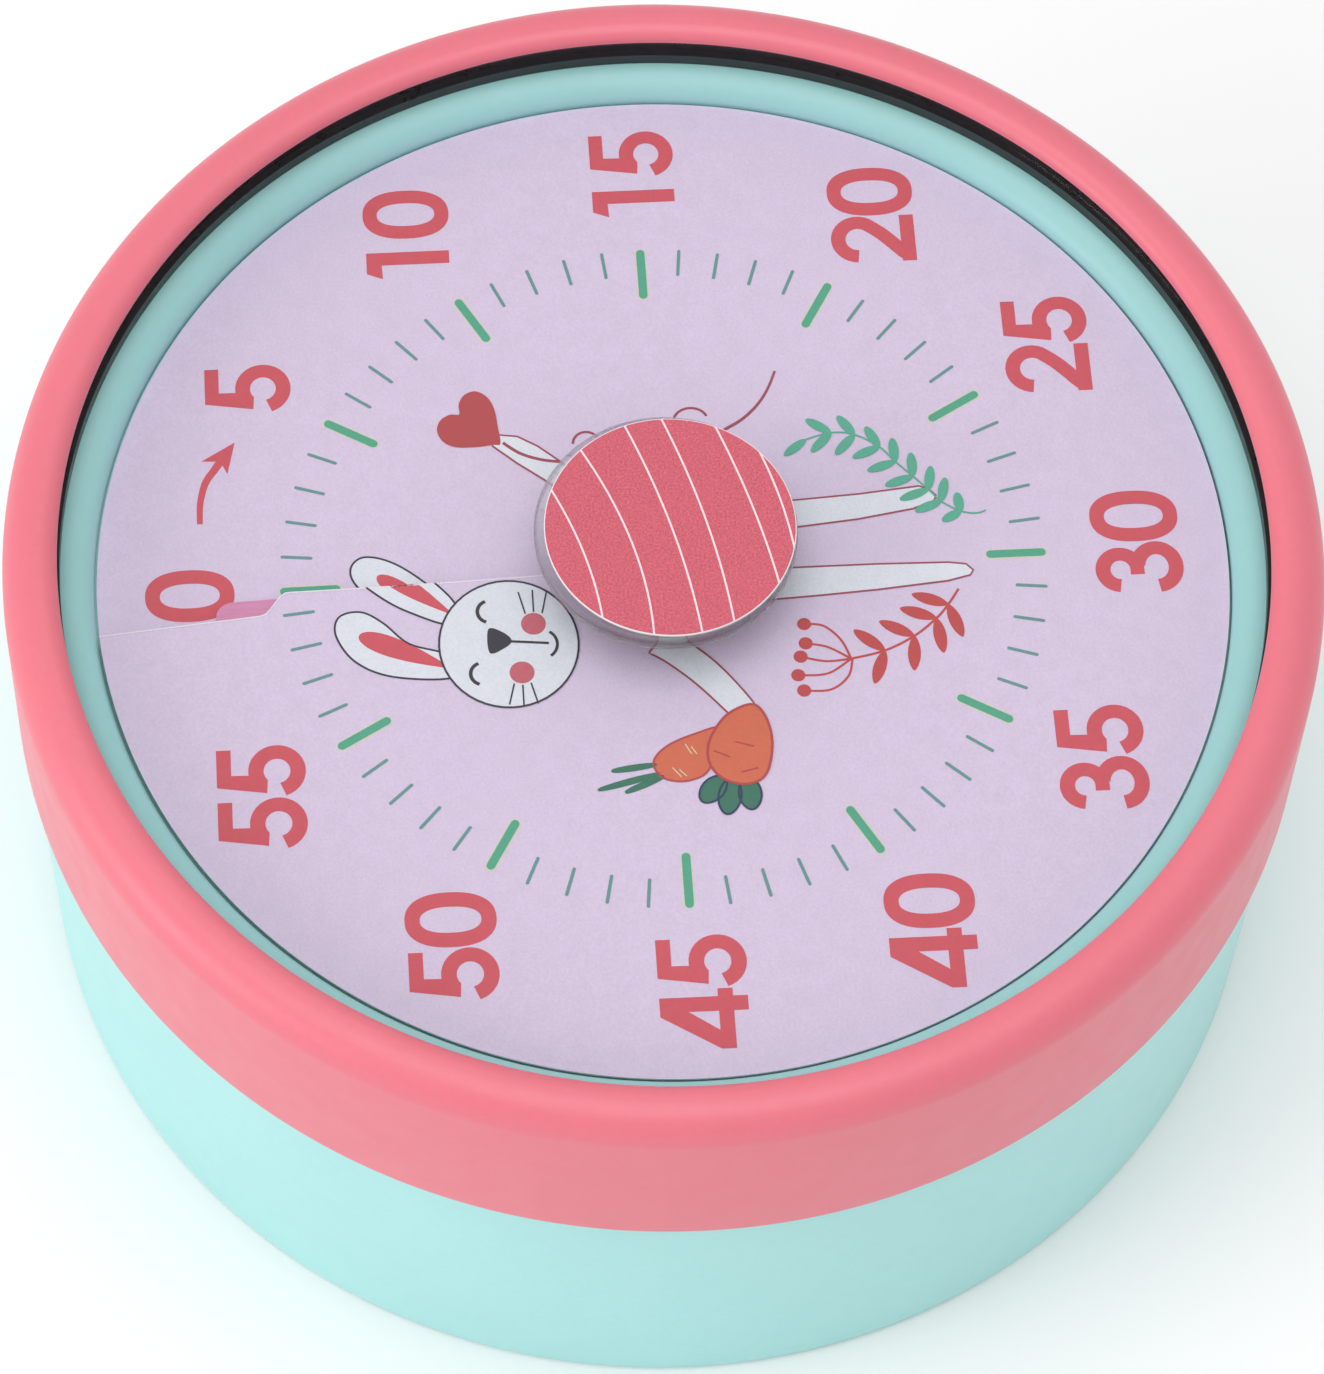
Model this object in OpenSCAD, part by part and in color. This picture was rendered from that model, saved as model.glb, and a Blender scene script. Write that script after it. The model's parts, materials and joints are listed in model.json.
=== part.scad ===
// Sixty-minute wind-up kitchen timer with a slit dial and a disc that shows the time left.
// It lies on its back: the origin is the middle of the back face, +Z points out of the dial,
// +Y points to the 0 mark and +X to the 15 mark.

/* [Case] */
// Outside radius of the case at its foot
case_foot_r = 38.5; // [38.2:0.1:38.8]
// Outside radius of the case where it meets the bezel
case_top_r = 38.9; // [38.8:0.1:39.2]
// Thickness of the case wall
case_wall = 2.3; // [2:0.1:2.4]
// Number of screws in the rear cover
cover_screw_count = 3; // [3:1:4]

/* [Bezel and lens] */
// Outside radius of the bezel
bezel_r = 39.4; // [39.3:0.1:39.8]
// Height of the bezel's lower edge
bezel_z = 22.65; // [20:0.05:24]
// Radius of the window in the bezel
window_r = 36.1; // [35.9:0.05:36.3]
// Thickness of the lens
lens_t = 1.2; // [1:0.1:1.3]

/* [Dial] */
// Radius of the paper dial
dial_r = 34; // [33:0.1:34.1]
// Radius of the coloured disc
disc_r = 27; // [26:0.1:27.5]
// Thickness of the dial and of the coloured disc
sheet_t = 0.16; // [0.12:0.01:0.2]
// How far the slit lifts the dial in one turn
slit_rise = 0.9; // [0.8:0.05:1]

/* [Knob] */
// Radius of the knob
knob_r = 7.85; // [7:0.05:9]
// Radius of the knob's label
label_r = 7.5; // [6.5:0.05:7.6]

/* [Movement] */
// Radius of the two movement plates
plate_r = 27.5; // [27.3:0.1:27.8]
// Teeth on the great wheel
great_teeth = 60; // [60:1:62]
// Teeth on the second wheel
second_teeth = 56; // [55:1:57]
// Teeth on the third wheel
third_teeth = 48; // [47:1:49]
// Leaves on each pinion
pinion_leaves = 8; // [8:1:9]
// Teeth on the escape wheel
escape_teeth = 20; // [18:1:22]

/* [Hidden] */
$fn = 64;

mint = "#a7e2e0";
coral = "#e98b9b";
lilac = "#d2bdd8";
pink = "#cd7da5";
brass = "#c9a24f";
steel = "#b4b8bc";
dark_steel = "#70757a";

gap = 0.02;          // between parts that are pressed or glued together
play = 0.05;         // round a turning shaft
snap_gap = 0.1;      // between the shells, where they snap or slide together

// Heights, from the back up
cover_t = 2.2;
cover_seat = 0.05;
bell_z = 4.4;
bell_h = 4.8;
cam_z = 9.8;
cam_t = 1.2;
rear_plate_z = 12;
front_plate_z = 27;
plate_t = 1.2;
deck_bottom = 29.9;
disc_recess_z = 30.7;
dial_seat_z = 31.3;
dial_z = 31.55;      // top of the dial at the low side of the slit
ring_low_z = 31.95;
ring_top_z = 33.3;
lens_z = 34.2;
lens_top = lens_z + lens_t;
lip_z = lens_top + 0.05;
bezel_crest = 36.35;
knob_z = 35.75;
knob_top = 36.75;
label_t = 0.2;

// Shells
case_inner_r = case_foot_r - case_wall;
cover_pocket_r = case_inner_r + 0.5;
neck_r = 37.6;       // outside of the case inside the bezel
neck_inner_r = 35.9;
neck_z = bezel_z - 0.1;
recess_r = disc_r + 0.8;
ring_inner_r = dial_r + 0.15;
deck_hole_r = 3.3;
boss_r = 3;
boss_at = 31.6;
screw_r = 1;
post_r = 2.4;
post_at = 22;
movement_post_angles = [20, 110, 315];
boss_turn = 80;

// Winding arbor and what it carries
arbor_r = 2;
arbor_front_r = 1.5;
arbor_rear_r = 1.2;
arbor_shoulder = 0.15;
arbor_bottom = 9.6;
arbor_top = 35.6;
hub_r = 2.9;
hub_top = 33;
disc_hole_r = hub_r + 0.1;
dial_hole_r = 4.2;
stem_r = 3.4;
stem_bottom = 33.2;
lens_hole_r = stem_r + 0.2;
label_shift = 0.25;

// Dial sheets: angles are in degrees of time, clockwise from the 0 mark
dial_start = -9;
flap_edge_outer = 354.5;
flap_edge_step = 358;
flap_edge_inner = 357;
disc_edge = -2.4;    // leading edge of the coloured disc at zero minutes, at its rim
disc_edge_inner = -3.2;
disc_span = 357;
sheet_steps = 72;

// Wheels: module, heights, and where each arbor stands
great_m = 0.4;
second_m = 0.35;
third_m = 0.3;
great_z = 22.6;
second_z = 25.2;
third_z = 20;
escape_z = 17.2;
wheel_t = 0.8;
pinion_t = 1.9;
train_arbor_r = 0.8;
pivot_r = 0.5;
great_to_second = great_m * (great_teeth + pinion_leaves) / 2;
second_to_third = second_m * (second_teeth + pinion_leaves) / 2;
third_to_escape = third_m * (third_teeth + pinion_leaves) / 2;
escape_to_pallet = 8;
pallet_to_balance = 10.5;
third_at = 20;       // distances of the arbors from the centre
escape_at = 20;
pallet_at = 21;
balance_at = 20.5;
second_angle = 150;
third_angle = second_angle + spread(great_to_second, third_at, second_to_third);
escape_angle = third_angle + spread(third_at, escape_at, third_to_escape);
pallet_angle = escape_angle + spread(escape_at, pallet_at, escape_to_pallet);
balance_angle = pallet_angle + spread(pallet_at, balance_at, pallet_to_balance);
second_p = polar(great_to_second, second_angle);
third_p = polar(third_at, third_angle);
escape_p = polar(escape_at, escape_angle);
pallet_p = polar(pallet_at, pallet_angle);
balance_p = polar(balance_at, balance_angle);
train_pivots = [second_p, third_p, escape_p, pallet_p, balance_p];

// Ratchet and click, under the great wheel
ratchet_z = 21.2;
ratchet_t = 1.1;
ratchet_teeth = 24;
ratchet_root = 4.4;
ratchet_tip = 5.2;
click_p = polar(8.6, 128);
click_tip_p = polar(5.25, 112);
click_width = 0.6;
click_anchor_p = polar(9.2, 80);
click_leaf = 0.15;

// Mainspring between the arbor and its post
spring_z = 13.6;
spring_h = 6.4;
spring_inner = 2.5;
spring_outer = 9.9;
spring_turns = 6;
spring_strip = 0.25;
spring_post_r = 0.7;
spring_post_at = spring_outer + spring_strip / 2 + spring_post_r + gap;

// Escapement
escape_tip = 5.5;
escape_root = 4.1;
pin_r = 0.3;
pin_clear = 0.6;
pallet_reach = 4.2;
lever_z = 18.6;
lever_t = 0.6;
balance_r = 6.5;
balance_z = 15;
hair_z = 16.5;
hair_inner = 0.95;
hair_outer = 3.6;
hair_turns = 5;
hair_strip = 0.12;
hair_stud_r = 0.5;
roller_z = 17.6;

// Pillars and striking work
pillar_r = 1.6;
pillar_at = 24.6;
pillar_angles = [60, 130, 288, 350];
cam_r = 6;
hammer_p = polar(15, 20);
hammer_head_p = polar(22.1, 62);
hammer_finger_p = polar(cam_r + 0.9, 50);
hammer_bar = 1.8;
hammer_stud_r = 1;
bell_r = 20;
bell_wall = 0.8;
bell_boss_r = 3.2;

// A point at a distance and an angle from the centre
function polar(r, a) = [r * cos(a), r * sin(a)];

// The angle seen from the centre between points at distances r1 and r2 that are `side` apart
function spread(r1, r2, side) = acos((r1 * r1 + r2 * r2 - side * side) / (2 * r1 * r2));

// The direction from point a to point b
function heading(a, b) = atan2(b[1] - a[1], b[0] - a[0]);

// Points along an arc round [x, y] from angle a to angle b
function arc(x, y, rx, ry, a, b, n = 8) =
    [for (i = [0:n]) [x + rx * cos(a + (b - a) * i / n), y + ry * sin(a + (b - a) * i / n)]];

// Points of a toothed outline; each corner is [radius, place across the tooth in pitches]
function toothed(n, corners) =
    [for (i = [0:n - 1], c = corners) polar(c[0], (i + c[1]) * 360 / n)];

// Tooth of a wheel, with an arched tip, and leaf of a pinion, with radial flanks
function wheel_tooth(n, m) =
    let (r = n * m / 2)
    [[r - 1.3 * m, -0.23], [r, -0.21], [r + 0.55 * m, -0.15], [r + 0.95 * m, -0.05],
     [r + 0.95 * m, 0.05], [r + 0.55 * m, 0.15], [r, 0.21], [r - 1.3 * m, 0.23]];
function pinion_leaf(n, m) =
    let (r = n * m / 2)
    [[r - 1.35 * m, -0.17], [r, -0.17], [r + 0.45 * m, -0.11], [r + 0.65 * m, -0.04],
     [r + 0.65 * m, 0.04], [r + 0.45 * m, 0.11], [r, 0.17], [r - 1.35 * m, 0.17]];

// Outline of a flat spring wound from radius a to radius b
function spiral(a, b, turns, strip, start, steps = 22) =
    let (n = turns * steps, pitch = (b - a) / n)
    concat(
        [for (i = [0:n]) polar(a + pitch * i - strip / 2, start + i * 360 / steps)],
        [for (i = [n:-1:0]) polar(a + pitch * i + strip / 2, start + i * 360 / steps)]
    );

module at(p, z = 0) {
    translate([p[0], p[1], z]) children();
}

module ring(r_out, r_in, z, h) {
    rotate_extrude($fn = 128)
        translate([r_in, z]) square([r_out - r_in, h]);
}

module plate_disc(r, h) {
    cylinder(r = r, h = h, $fn = 128);
}

// The outline of a bar from a to b, round at b
module bar(a, b, width) {
    length = norm(b - a);
    translate(a) rotate(heading(a, b)) {
        translate([0, -width / 2]) square([length, width]);
        translate([length, 0]) circle(d = width);
    }
}

// A screw with a cheese head under which the shank runs up to `top`
module screw(head_z, head_h, head_r, shank_r, top) {
    difference() {
        translate([0, 0, head_z]) cylinder(r = head_r, h = head_h);
        translate([-head_r, -0.3, head_z - 1]) cube([2 * head_r, 0.6, 1.5]);
    }
    translate([0, 0, head_z + head_h]) cylinder(r = shank_r, h = top - head_z - head_h);
}

// One turn of paper that climbs as it goes round clockwise. Each station is
// [radius, angle where the sheet ends]; all of them start at `start`.
module climbing_sheet(stations, start, top_z) {
    rows = len(stations);
    columns = sheet_steps + 1;
    function time_at(j, i) = start + (stations[j][1] - start) * i / sheet_steps;
    function corner(j, i, drop) =
        let (t = time_at(j, i), p = polar(stations[j][0], 90 - t))
        [p[0], p[1], top_z + slit_rise * t / 360 - drop];
    function at_top(j, i) = j * columns + i;
    function at_bottom(j, i) = rows * columns + j * columns + i;
    points = [for (drop = [0, sheet_t], j = [0:rows - 1], i = [0:sheet_steps]) corner(j, i, drop)];
    faces = concat(
        [for (j = [0:rows - 2], i = [0:sheet_steps - 1], half = [0, 1])
            half == 0
                ? [at_top(j, i), at_top(j + 1, i), at_top(j, i + 1)]
                : [at_top(j, i + 1), at_top(j + 1, i), at_top(j + 1, i + 1)]],
        [for (j = [0:rows - 2], i = [0:sheet_steps - 1], half = [0, 1])
            half == 0
                ? [at_bottom(j, i), at_bottom(j, i + 1), at_bottom(j + 1, i)]
                : [at_bottom(j, i + 1), at_bottom(j + 1, i + 1), at_bottom(j + 1, i)]],
        [for (i = [0:sheet_steps - 1], half = [0, 1])
            half == 0
                ? [at_top(0, i), at_top(0, i + 1), at_bottom(0, i)]
                : [at_top(0, i + 1), at_bottom(0, i + 1), at_bottom(0, i)]],
        [for (i = [0:sheet_steps - 1], half = [0, 1])
            half == 0
                ? [at_top(rows - 1, i), at_bottom(rows - 1, i), at_top(rows - 1, i + 1)]
                : [at_top(rows - 1, i + 1), at_bottom(rows - 1, i), at_bottom(rows - 1, i + 1)]],
        [for (j = [0:rows - 2], half = [0, 1])
            half == 0
                ? [at_top(j, 0), at_bottom(j, 0), at_top(j + 1, 0)]
                : [at_top(j + 1, 0), at_bottom(j, 0), at_bottom(j + 1, 0)]],
        [for (j = [0:rows - 2], half = [0, 1])
            let (e = sheet_steps)
            half == 0
                ? [at_top(j, e), at_top(j + 1, e), at_bottom(j, e)]
                : [at_top(j + 1, e), at_bottom(j + 1, e), at_bottom(j, e)]]
    );
    polyhedron(points, faces);
}

// A pinion cut on its arbor, with pivots in both plates
module pinion_arbor(p, m, pinion_z, turn) {
    at(p) {
        difference() {
            translate([0, 0, pinion_z]) rotate([0, 0, turn])
                linear_extrude(pinion_t) polygon(toothed(pinion_leaves, pinion_leaf(pinion_leaves, m)));
            translate([0, 0, pinion_z - 1]) cylinder(r = pivot_r, h = pinion_t + 2);
        }
        arbor_between_plates(pinion_z, pinion_z + pinion_t);
    }
}

// A plain arbor with pivots in both plates; it is thinner between z1 and z2
module arbor_between_plates(z1, z2) {
    low = rear_plate_z + plate_t + arbor_shoulder;
    high = front_plate_z - arbor_shoulder;
    translate([0, 0, rear_plate_z + 0.1])
        cylinder(r = pivot_r, h = front_plate_z + plate_t - rear_plate_z - 0.2);
    translate([0, 0, low]) cylinder(r = train_arbor_r, h = z1 - low);
    translate([0, 0, z2]) cylinder(r = train_arbor_r, h = high - z2);
}

// A toothed wheel with round windows, bored for its arbor
module wheel(teeth, m, h, bore, windows) {
    r = teeth * m / 2;
    rim = r - 1.3 * m - 1;
    window_at = (rim + bore + 1.2) / 2;
    window_r = min((rim - bore - 1.2) / 2, window_at * sin(180 / windows) - 0.5);
    difference() {
        linear_extrude(h) polygon(toothed(teeth, wheel_tooth(teeth, m)));
        translate([0, 0, -1]) cylinder(r = bore, h = h + 2);
        for (i = [1:windows])
            at(polar(window_at, i * 360 / windows), -1) cylinder(r = window_r, h = h + 2);
    }
}

module case() {
    color(mint) difference() {
        union() {
            rotate_extrude($fn = 128) polygon(concat(
                [[cover_pocket_r, 0]],
                arc(case_foot_r - 0.8, 0.8, 0.8, 0.8, -90, 0),
                [[case_top_r, neck_z], [neck_r, neck_z], [neck_r, ring_top_z]],
                arc(ring_inner_r + 1.9, ring_low_z, 1.9, ring_top_z - ring_low_z, 90, 180),
                [[ring_inner_r, dial_seat_z], [recess_r, dial_seat_z], [recess_r, disc_recess_z],
                 [deck_hole_r, disc_recess_z], [deck_hole_r, deck_bottom],
                 [neck_inner_r - 1, deck_bottom], [neck_inner_r - 1, neck_z - 1],
                 [case_inner_r, neck_z - 3], [case_inner_r, cover_t + cover_seat],
                 [cover_pocket_r, cover_t + cover_seat]]
            ));
            for (i = [1:cover_screw_count])
                at(polar(boss_at, boss_turn + i * 360 / cover_screw_count), cover_t + cover_seat)
                    cylinder(r = boss_r, h = disc_recess_z - cover_t - 0.5);
            for (a = movement_post_angles)
                at(polar(post_at, a), front_plate_z + plate_t)
                    cylinder(r = post_r, h = disc_recess_z - front_plate_z - plate_t - 0.2);
        }
        for (i = [1:cover_screw_count])
            at(polar(boss_at, boss_turn + i * 360 / cover_screw_count), 0)
                cylinder(r = screw_r + gap, h = 12);
        for (a = movement_post_angles)
            at(polar(post_at, a), front_plate_z) cylinder(r = 0.7 + gap, h = 3);
    }
}

module bezel() {
    inner = neck_r + snap_gap;
    color(coral) rotate_extrude($fn = 128) polygon(concat(
        [[inner, bezel_z + 0.3]],
        arc(bezel_r - 0.5, bezel_z + 0.5, 0.5, 0.5, -90, 0, 5),
        arc(bezel_r - 2.1, bezel_crest - 2.05, 2.1, 2.05, 0, 90, 12),
        arc(window_r + 1.0, bezel_crest - 0.8, 1.0, 0.8, 90, 180, 8),
        [[window_r, lip_z], [inner, lip_z]]
    ));
}

module lens() {
    color([0.9, 0.95, 0.97, 0.3]) ring(window_r + 0.35, lens_hole_r, lens_z, lens_t);
}

module lens_gasket() {
    seat_r = window_r + 0.4;
    color("#282a2c") rotate_extrude($fn = 128) polygon([
        [window_r - 0.05, ring_top_z + 0.05], [neck_r - 0.1, ring_top_z + 0.05],
        [neck_r - 0.1, lip_z - 0.02], [seat_r, lip_z - 0.02], [seat_r, lens_z - gap],
        [window_r - 0.05, lens_z - gap]
    ]);
}

module dial_card() {
    color(lilac) climbing_sheet(
        [[dial_hole_r, flap_edge_inner], [22.7, flap_edge_step], [24.2, flap_edge_outer],
         [dial_r, flap_edge_outer]],
        dial_start, dial_z
    );
}

module time_disc() {
    color(pink) climbing_sheet(
        [[disc_hole_r, disc_edge_inner], [15, disc_edge_inner], [disc_r, disc_edge]],
        disc_edge - disc_span, dial_z + slit_rise / 2
    );
}

module disc_hub() {
    color("white") ring(hub_r, arbor_front_r + gap, front_plate_z + plate_t + 0.3,
        hub_top - front_plate_z - plate_t - 0.3);
}

module knob() {
    color([0.93, 0.95, 0.97, 0.4]) difference() {
        union() {
            rotate_extrude($fn = 96) polygon(concat(
                [[0, knob_z]],
                arc(knob_r - 0.25, knob_z + 0.25, 0.25, 0.25, -90, 0, 4),
                arc(knob_r - 0.3, knob_top - 0.3, 0.3, 0.3, 0, 90, 4),
                [[0, knob_top]]
            ));
            translate([0, 0, stem_bottom]) cylinder(r = stem_r, h = knob_top - stem_bottom - 0.4);
        }
        translate([0, 0, stem_bottom - 1])
            cylinder(r = arbor_front_r + gap, h = arbor_top + gap - stem_bottom + 1);
    }
}

module knob_label() {
    color(coral) translate([0, -label_shift, knob_top + gap / 2]) plate_disc(label_r, label_t);
}

module rear_cover() {
    color(mint) difference() {
        union() {
            plate_disc(cover_pocket_r - snap_gap, cover_t);
            cylinder(r = bell_boss_r, h = bell_z - gap);
        }
        translate([0, 0, 1.2]) cylinder(r = 0.9 + gap, h = bell_z);
        for (i = [1:cover_screw_count])
            at(polar(boss_at, boss_turn + i * 360 / cover_screw_count), 0) {
                translate([0, 0, -1]) cylinder(r = 2.2, h = 2.1);
                cylinder(r = screw_r + play, h = cover_t + 1);
            }
        for (side = [-1, 1])
            translate([side * 14, 0, -1]) cylinder(r = 6 + snap_gap, h = 2.75);
    }
}

module cover_screws() {
    color(steel) for (i = [1:cover_screw_count])
        at(polar(boss_at, boss_turn + i * 360 / cover_screw_count))
            screw(0.1, 0.95, 2, screw_r, 10.5);
}

module magnets() {
    color(dark_steel) for (side = [-1, 1])
        translate([side * 14, 0, 0.1]) cylinder(r = 6, h = 1.6);
}

// A movement plate with holes for every pivot, the winding arbor, the pillar screws and posts
module plate(z, centre_hole, fixing_holes) {
    color(brass) difference() {
        translate([0, 0, z]) plate_disc(plate_r, plate_t);
        translate([0, 0, z - 1]) cylinder(r = centre_hole, h = plate_t + 2);
        for (p = train_pivots) at(p, z - 1) cylinder(r = pivot_r + play, h = plate_t + 2);
        for (a = pillar_angles)
            at(polar(pillar_at, a), z - 1) cylinder(r = 0.8 + play, h = plate_t + 2);
        if (fixing_holes)
            for (a = movement_post_angles)
                at(polar(post_at, a), z - 1) cylinder(r = 0.7 + play, h = plate_t + 2);
    }
}

module front_plate() {
    plate(front_plate_z, arbor_front_r + play, true);
}

module rear_plate() {
    difference() {
        plate(rear_plate_z, arbor_rear_r + play, false);
        at(hammer_p, rear_plate_z - 1) cylinder(r = hammer_stud_r - 0.3 + gap, h = plate_t + 2);
        at(polar(spring_post_at, 0), rear_plate_z - 1)
            cylinder(r = spring_post_r - 0.2 + gap, h = plate_t + 2);
    }
}

module pillars() {
    low = rear_plate_z + plate_t + gap;
    color(steel) for (a = pillar_angles) at(polar(pillar_at, a), low) difference() {
        cylinder(r = pillar_r, h = front_plate_z - gap - low);
        translate([0, 0, -1]) cylinder(r = 0.8 + gap, h = front_plate_z - low + 2);
    }
}

module pillar_screws() {
    color(dark_steel) for (a = pillar_angles) at(polar(pillar_at, a)) {
        screw(rear_plate_z - 0.9, 0.85, 1.5, 0.8, rear_plate_z + 5);
        translate([0, 0, front_plate_z + plate_t + 0.9])
            mirror([0, 0, 1]) screw(0, 0.85, 1.5, 0.8, 6);
    }
}

module movement_screws() {
    color(dark_steel) for (a = movement_post_angles)
        at(polar(post_at, a)) screw(front_plate_z - 0.9, 0.85, 1.5, 0.7, front_plate_z + plate_t + 1.5);
}

module main_arbor() {
    low = rear_plate_z + plate_t + arbor_shoulder;
    high = front_plate_z - arbor_shoulder;
    color(steel) {
        translate([0, 0, arbor_bottom]) cylinder(r = arbor_rear_r, h = low - arbor_bottom);
        translate([0, 0, low]) cylinder(r = arbor_r, h = high - low);
        translate([0, 0, high]) cylinder(r = arbor_front_r, h = arbor_top - high);
    }
}

module mainspring() {
    color(dark_steel) translate([0, 0, spring_z]) linear_extrude(spring_h)
        polygon(spiral(spring_inner, spring_outer, spring_turns, spring_strip, 0));
}

module spring_post() {
    color(steel) at(polar(spring_post_at, 0)) {
        translate([0, 0, rear_plate_z + plate_t + gap])
            cylinder(r = spring_post_r, h = spring_z + spring_h + 0.3 - rear_plate_z - plate_t);
        translate([0, 0, rear_plate_z]) cylinder(r = spring_post_r - 0.2, h = plate_t + 1);
    }
}

module great_wheel() {
    color(brass) difference() {
        translate([0, 0, great_z]) rotate([0, 0, second_angle])
            wheel(great_teeth, great_m, wheel_t, arbor_r + gap, 5);
        at(click_p, great_z - 1) cylinder(r = 0.6 + gap, h = wheel_t + 2);
    }
}

module ratchet_wheel() {
    color(steel) translate([0, 0, ratchet_z]) difference() {
        linear_extrude(ratchet_t)
            polygon(toothed(ratchet_teeth, [[ratchet_root, 0.02], [ratchet_tip, 0.9], [ratchet_root, 1]]));
        translate([0, 0, -1]) cylinder(r = arbor_r + gap, h = ratchet_t + 2);
    }
}

module click() {
    color(steel) translate([0, 0, ratchet_z]) linear_extrude(ratchet_t) difference() {
        union() {
            translate(click_p) circle(r = 1.2);
            bar(click_p, click_tip_p, click_width);
        }
        translate(click_p) circle(r = 0.6 + play);
    }
}

module click_screw() {
    color(dark_steel) at(click_p) screw(ratchet_z - 0.65, 0.6, 1.1, 0.6, great_z + wheel_t);
}

// A leaf that presses the click's outer flank, on a pin in the great wheel
module click_spring() {
    side = heading(click_p, click_tip_p) + 90;
    tip = polar_from(click_tip_p, click_width / 2 + click_leaf / 2 + play, side);
    color(steel) {
        at(click_anchor_p, ratchet_z) cylinder(r = 0.5, h = great_z - gap - ratchet_z);
        translate([0, 0, ratchet_z + 0.25]) linear_extrude(0.6)
            bar(click_anchor_p, tip, click_leaf);
    }
}

module train_wheel(p, teeth, m, z, turn) {
    color(brass) at(p, z) rotate([0, 0, turn]) wheel(teeth, m, wheel_t, train_arbor_r + gap, 4);
}

// A pinion's gap faces the wheel that drives it; a wheel's tooth faces the pinion that it drives
function gap_turn(from, to) = heading(from, to) + 180 / pinion_leaves;

module second_arbor() {
    color(steel) pinion_arbor(second_p, great_m, great_z - 0.4, gap_turn(second_p, [0, 0]));
}

module second_wheel() {
    train_wheel(second_p, second_teeth, second_m, second_z, heading(second_p, third_p));
}

module third_arbor() {
    color(steel) pinion_arbor(third_p, second_m, second_z - 0.4, gap_turn(third_p, second_p));
}

module third_wheel() {
    train_wheel(third_p, third_teeth, third_m, third_z, heading(third_p, escape_p));
}

module escape_arbor() {
    color(steel) pinion_arbor(escape_p, third_m, third_z - 0.6, gap_turn(escape_p, third_p));
}

module escape_wheel() {
    color(brass) at(escape_p, escape_z) difference() {
        linear_extrude(wheel_t) polygon(toothed(escape_teeth,
            [[escape_root, 0], [escape_tip, 0.3], [escape_tip, 0.42], [escape_root, 0.6]]));
        translate([0, 0, -1]) cylinder(r = train_arbor_r + gap, h = wheel_t + 2);
        for (i = [0:3]) at(polar(2.6, i * 90), -1) cylinder(r = 1.1, h = wheel_t + 2);
    }
}

// Where a pallet pin stands, `side` being -1 or 1: `pallet_reach` from the lever's arbor and just
// clear of the escape wheel
function pin_p(side) =
    polar_from(pallet_p, pallet_reach,
        heading(pallet_p, escape_p)
        + side * spread(escape_to_pallet, pallet_reach, escape_tip + pin_r + pin_clear));
function polar_from(p, r, a) = [p[0] + r * cos(a), p[1] + r * sin(a)];

module pallet_lever() {
    fork = polar_from(pallet_p, pallet_to_balance - 2.4, heading(pallet_p, balance_p));
    color(brass) {
        translate([0, 0, lever_z]) linear_extrude(lever_t) difference() {
            union() {
                for (side = [-1, 1]) bar(pallet_p, pin_p(side), 0.9);
                bar(pallet_p, fork, 0.9);
                translate(pallet_p) circle(r = 1.3);
                for (side = [-1, 1])
                    bar(fork, polar_from(fork, 1.5, heading(pallet_p, balance_p) + side * 35), 0.5);
            }
            translate(pallet_p) circle(r = train_arbor_r + gap);
        }
        for (side = [-1, 1])
            at(pin_p(side), escape_z - 0.1) cylinder(r = pin_r, h = lever_z + 0.1 - escape_z);
    }
}

module pallet_arbor() {
    color(steel) at(pallet_p) arbor_between_plates(lever_z, lever_z);
}

module balance_wheel() {
    color(brass) at(balance_p, balance_z) difference() {
        union() {
            ring(balance_r, balance_r - 1.1, 0, 1);
            translate([1.1 - balance_r, -0.5, 0]) cube([2 * (balance_r - 1.1), 1, 0.6]);
            cylinder(r = 1.5, h = 1);
        }
        translate([0, 0, -1]) cylinder(r = train_arbor_r + gap, h = 3);
    }
}

module balance_staff() {
    color(steel) at(balance_p) {
        arbor_between_plates(lever_z, lever_z);
        translate([0, 0, roller_z]) cylinder(r = 1.6, h = 0.4);
        translate([1.2, 0, roller_z + 0.4]) cylinder(r = 0.25, h = lever_z - roller_z - 0.55);
    }
}

module hairspring() {
    color("#4a5a8c") at(balance_p, hair_z) linear_extrude(0.5)
        polygon(spiral(hair_inner, hair_outer, hair_turns, hair_strip, balance_angle, 16));
}

module hairspring_stud() {
    stud = polar_from(balance_p, hair_outer + hair_strip / 2 + hair_stud_r + gap, balance_angle);
    color(steel) at(stud, hair_z - 0.2) cylinder(r = hair_stud_r, h = front_plate_z - hair_z + 0.2 - gap);
}

module alarm_cam() {
    color("white") difference() {
        translate([0, 0, cam_z]) cylinder(r = cam_r, h = cam_t);
        translate([0, 0, cam_z - 1]) cylinder(r = arbor_rear_r + gap, h = cam_t + 2);
        at(polar(cam_r + 0.6, 50), cam_z - 1) cylinder(r = 2, h = cam_t + 2);
    }
}

module hammer_lever() {
    color(steel) translate([0, 0, cam_z]) linear_extrude(cam_t) difference() {
        union() {
            bar(hammer_p, hammer_finger_p, hammer_bar);
            bar(hammer_p, hammer_head_p, hammer_bar);
            translate(hammer_p) circle(r = 2);
        }
        translate(hammer_p) circle(r = hammer_stud_r + play);
        translate(hammer_head_p) circle(r = 0.5 + gap);
    }
}

module hammer_head() {
    color(brass) at(hammer_head_p) {
        translate([0, 0, bell_z + 2]) cylinder(r = 1.6, h = cam_z - gap - bell_z - 2);
        translate([0, 0, cam_z - gap]) cylinder(r = 0.5, h = cam_t + gap);
    }
}

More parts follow.
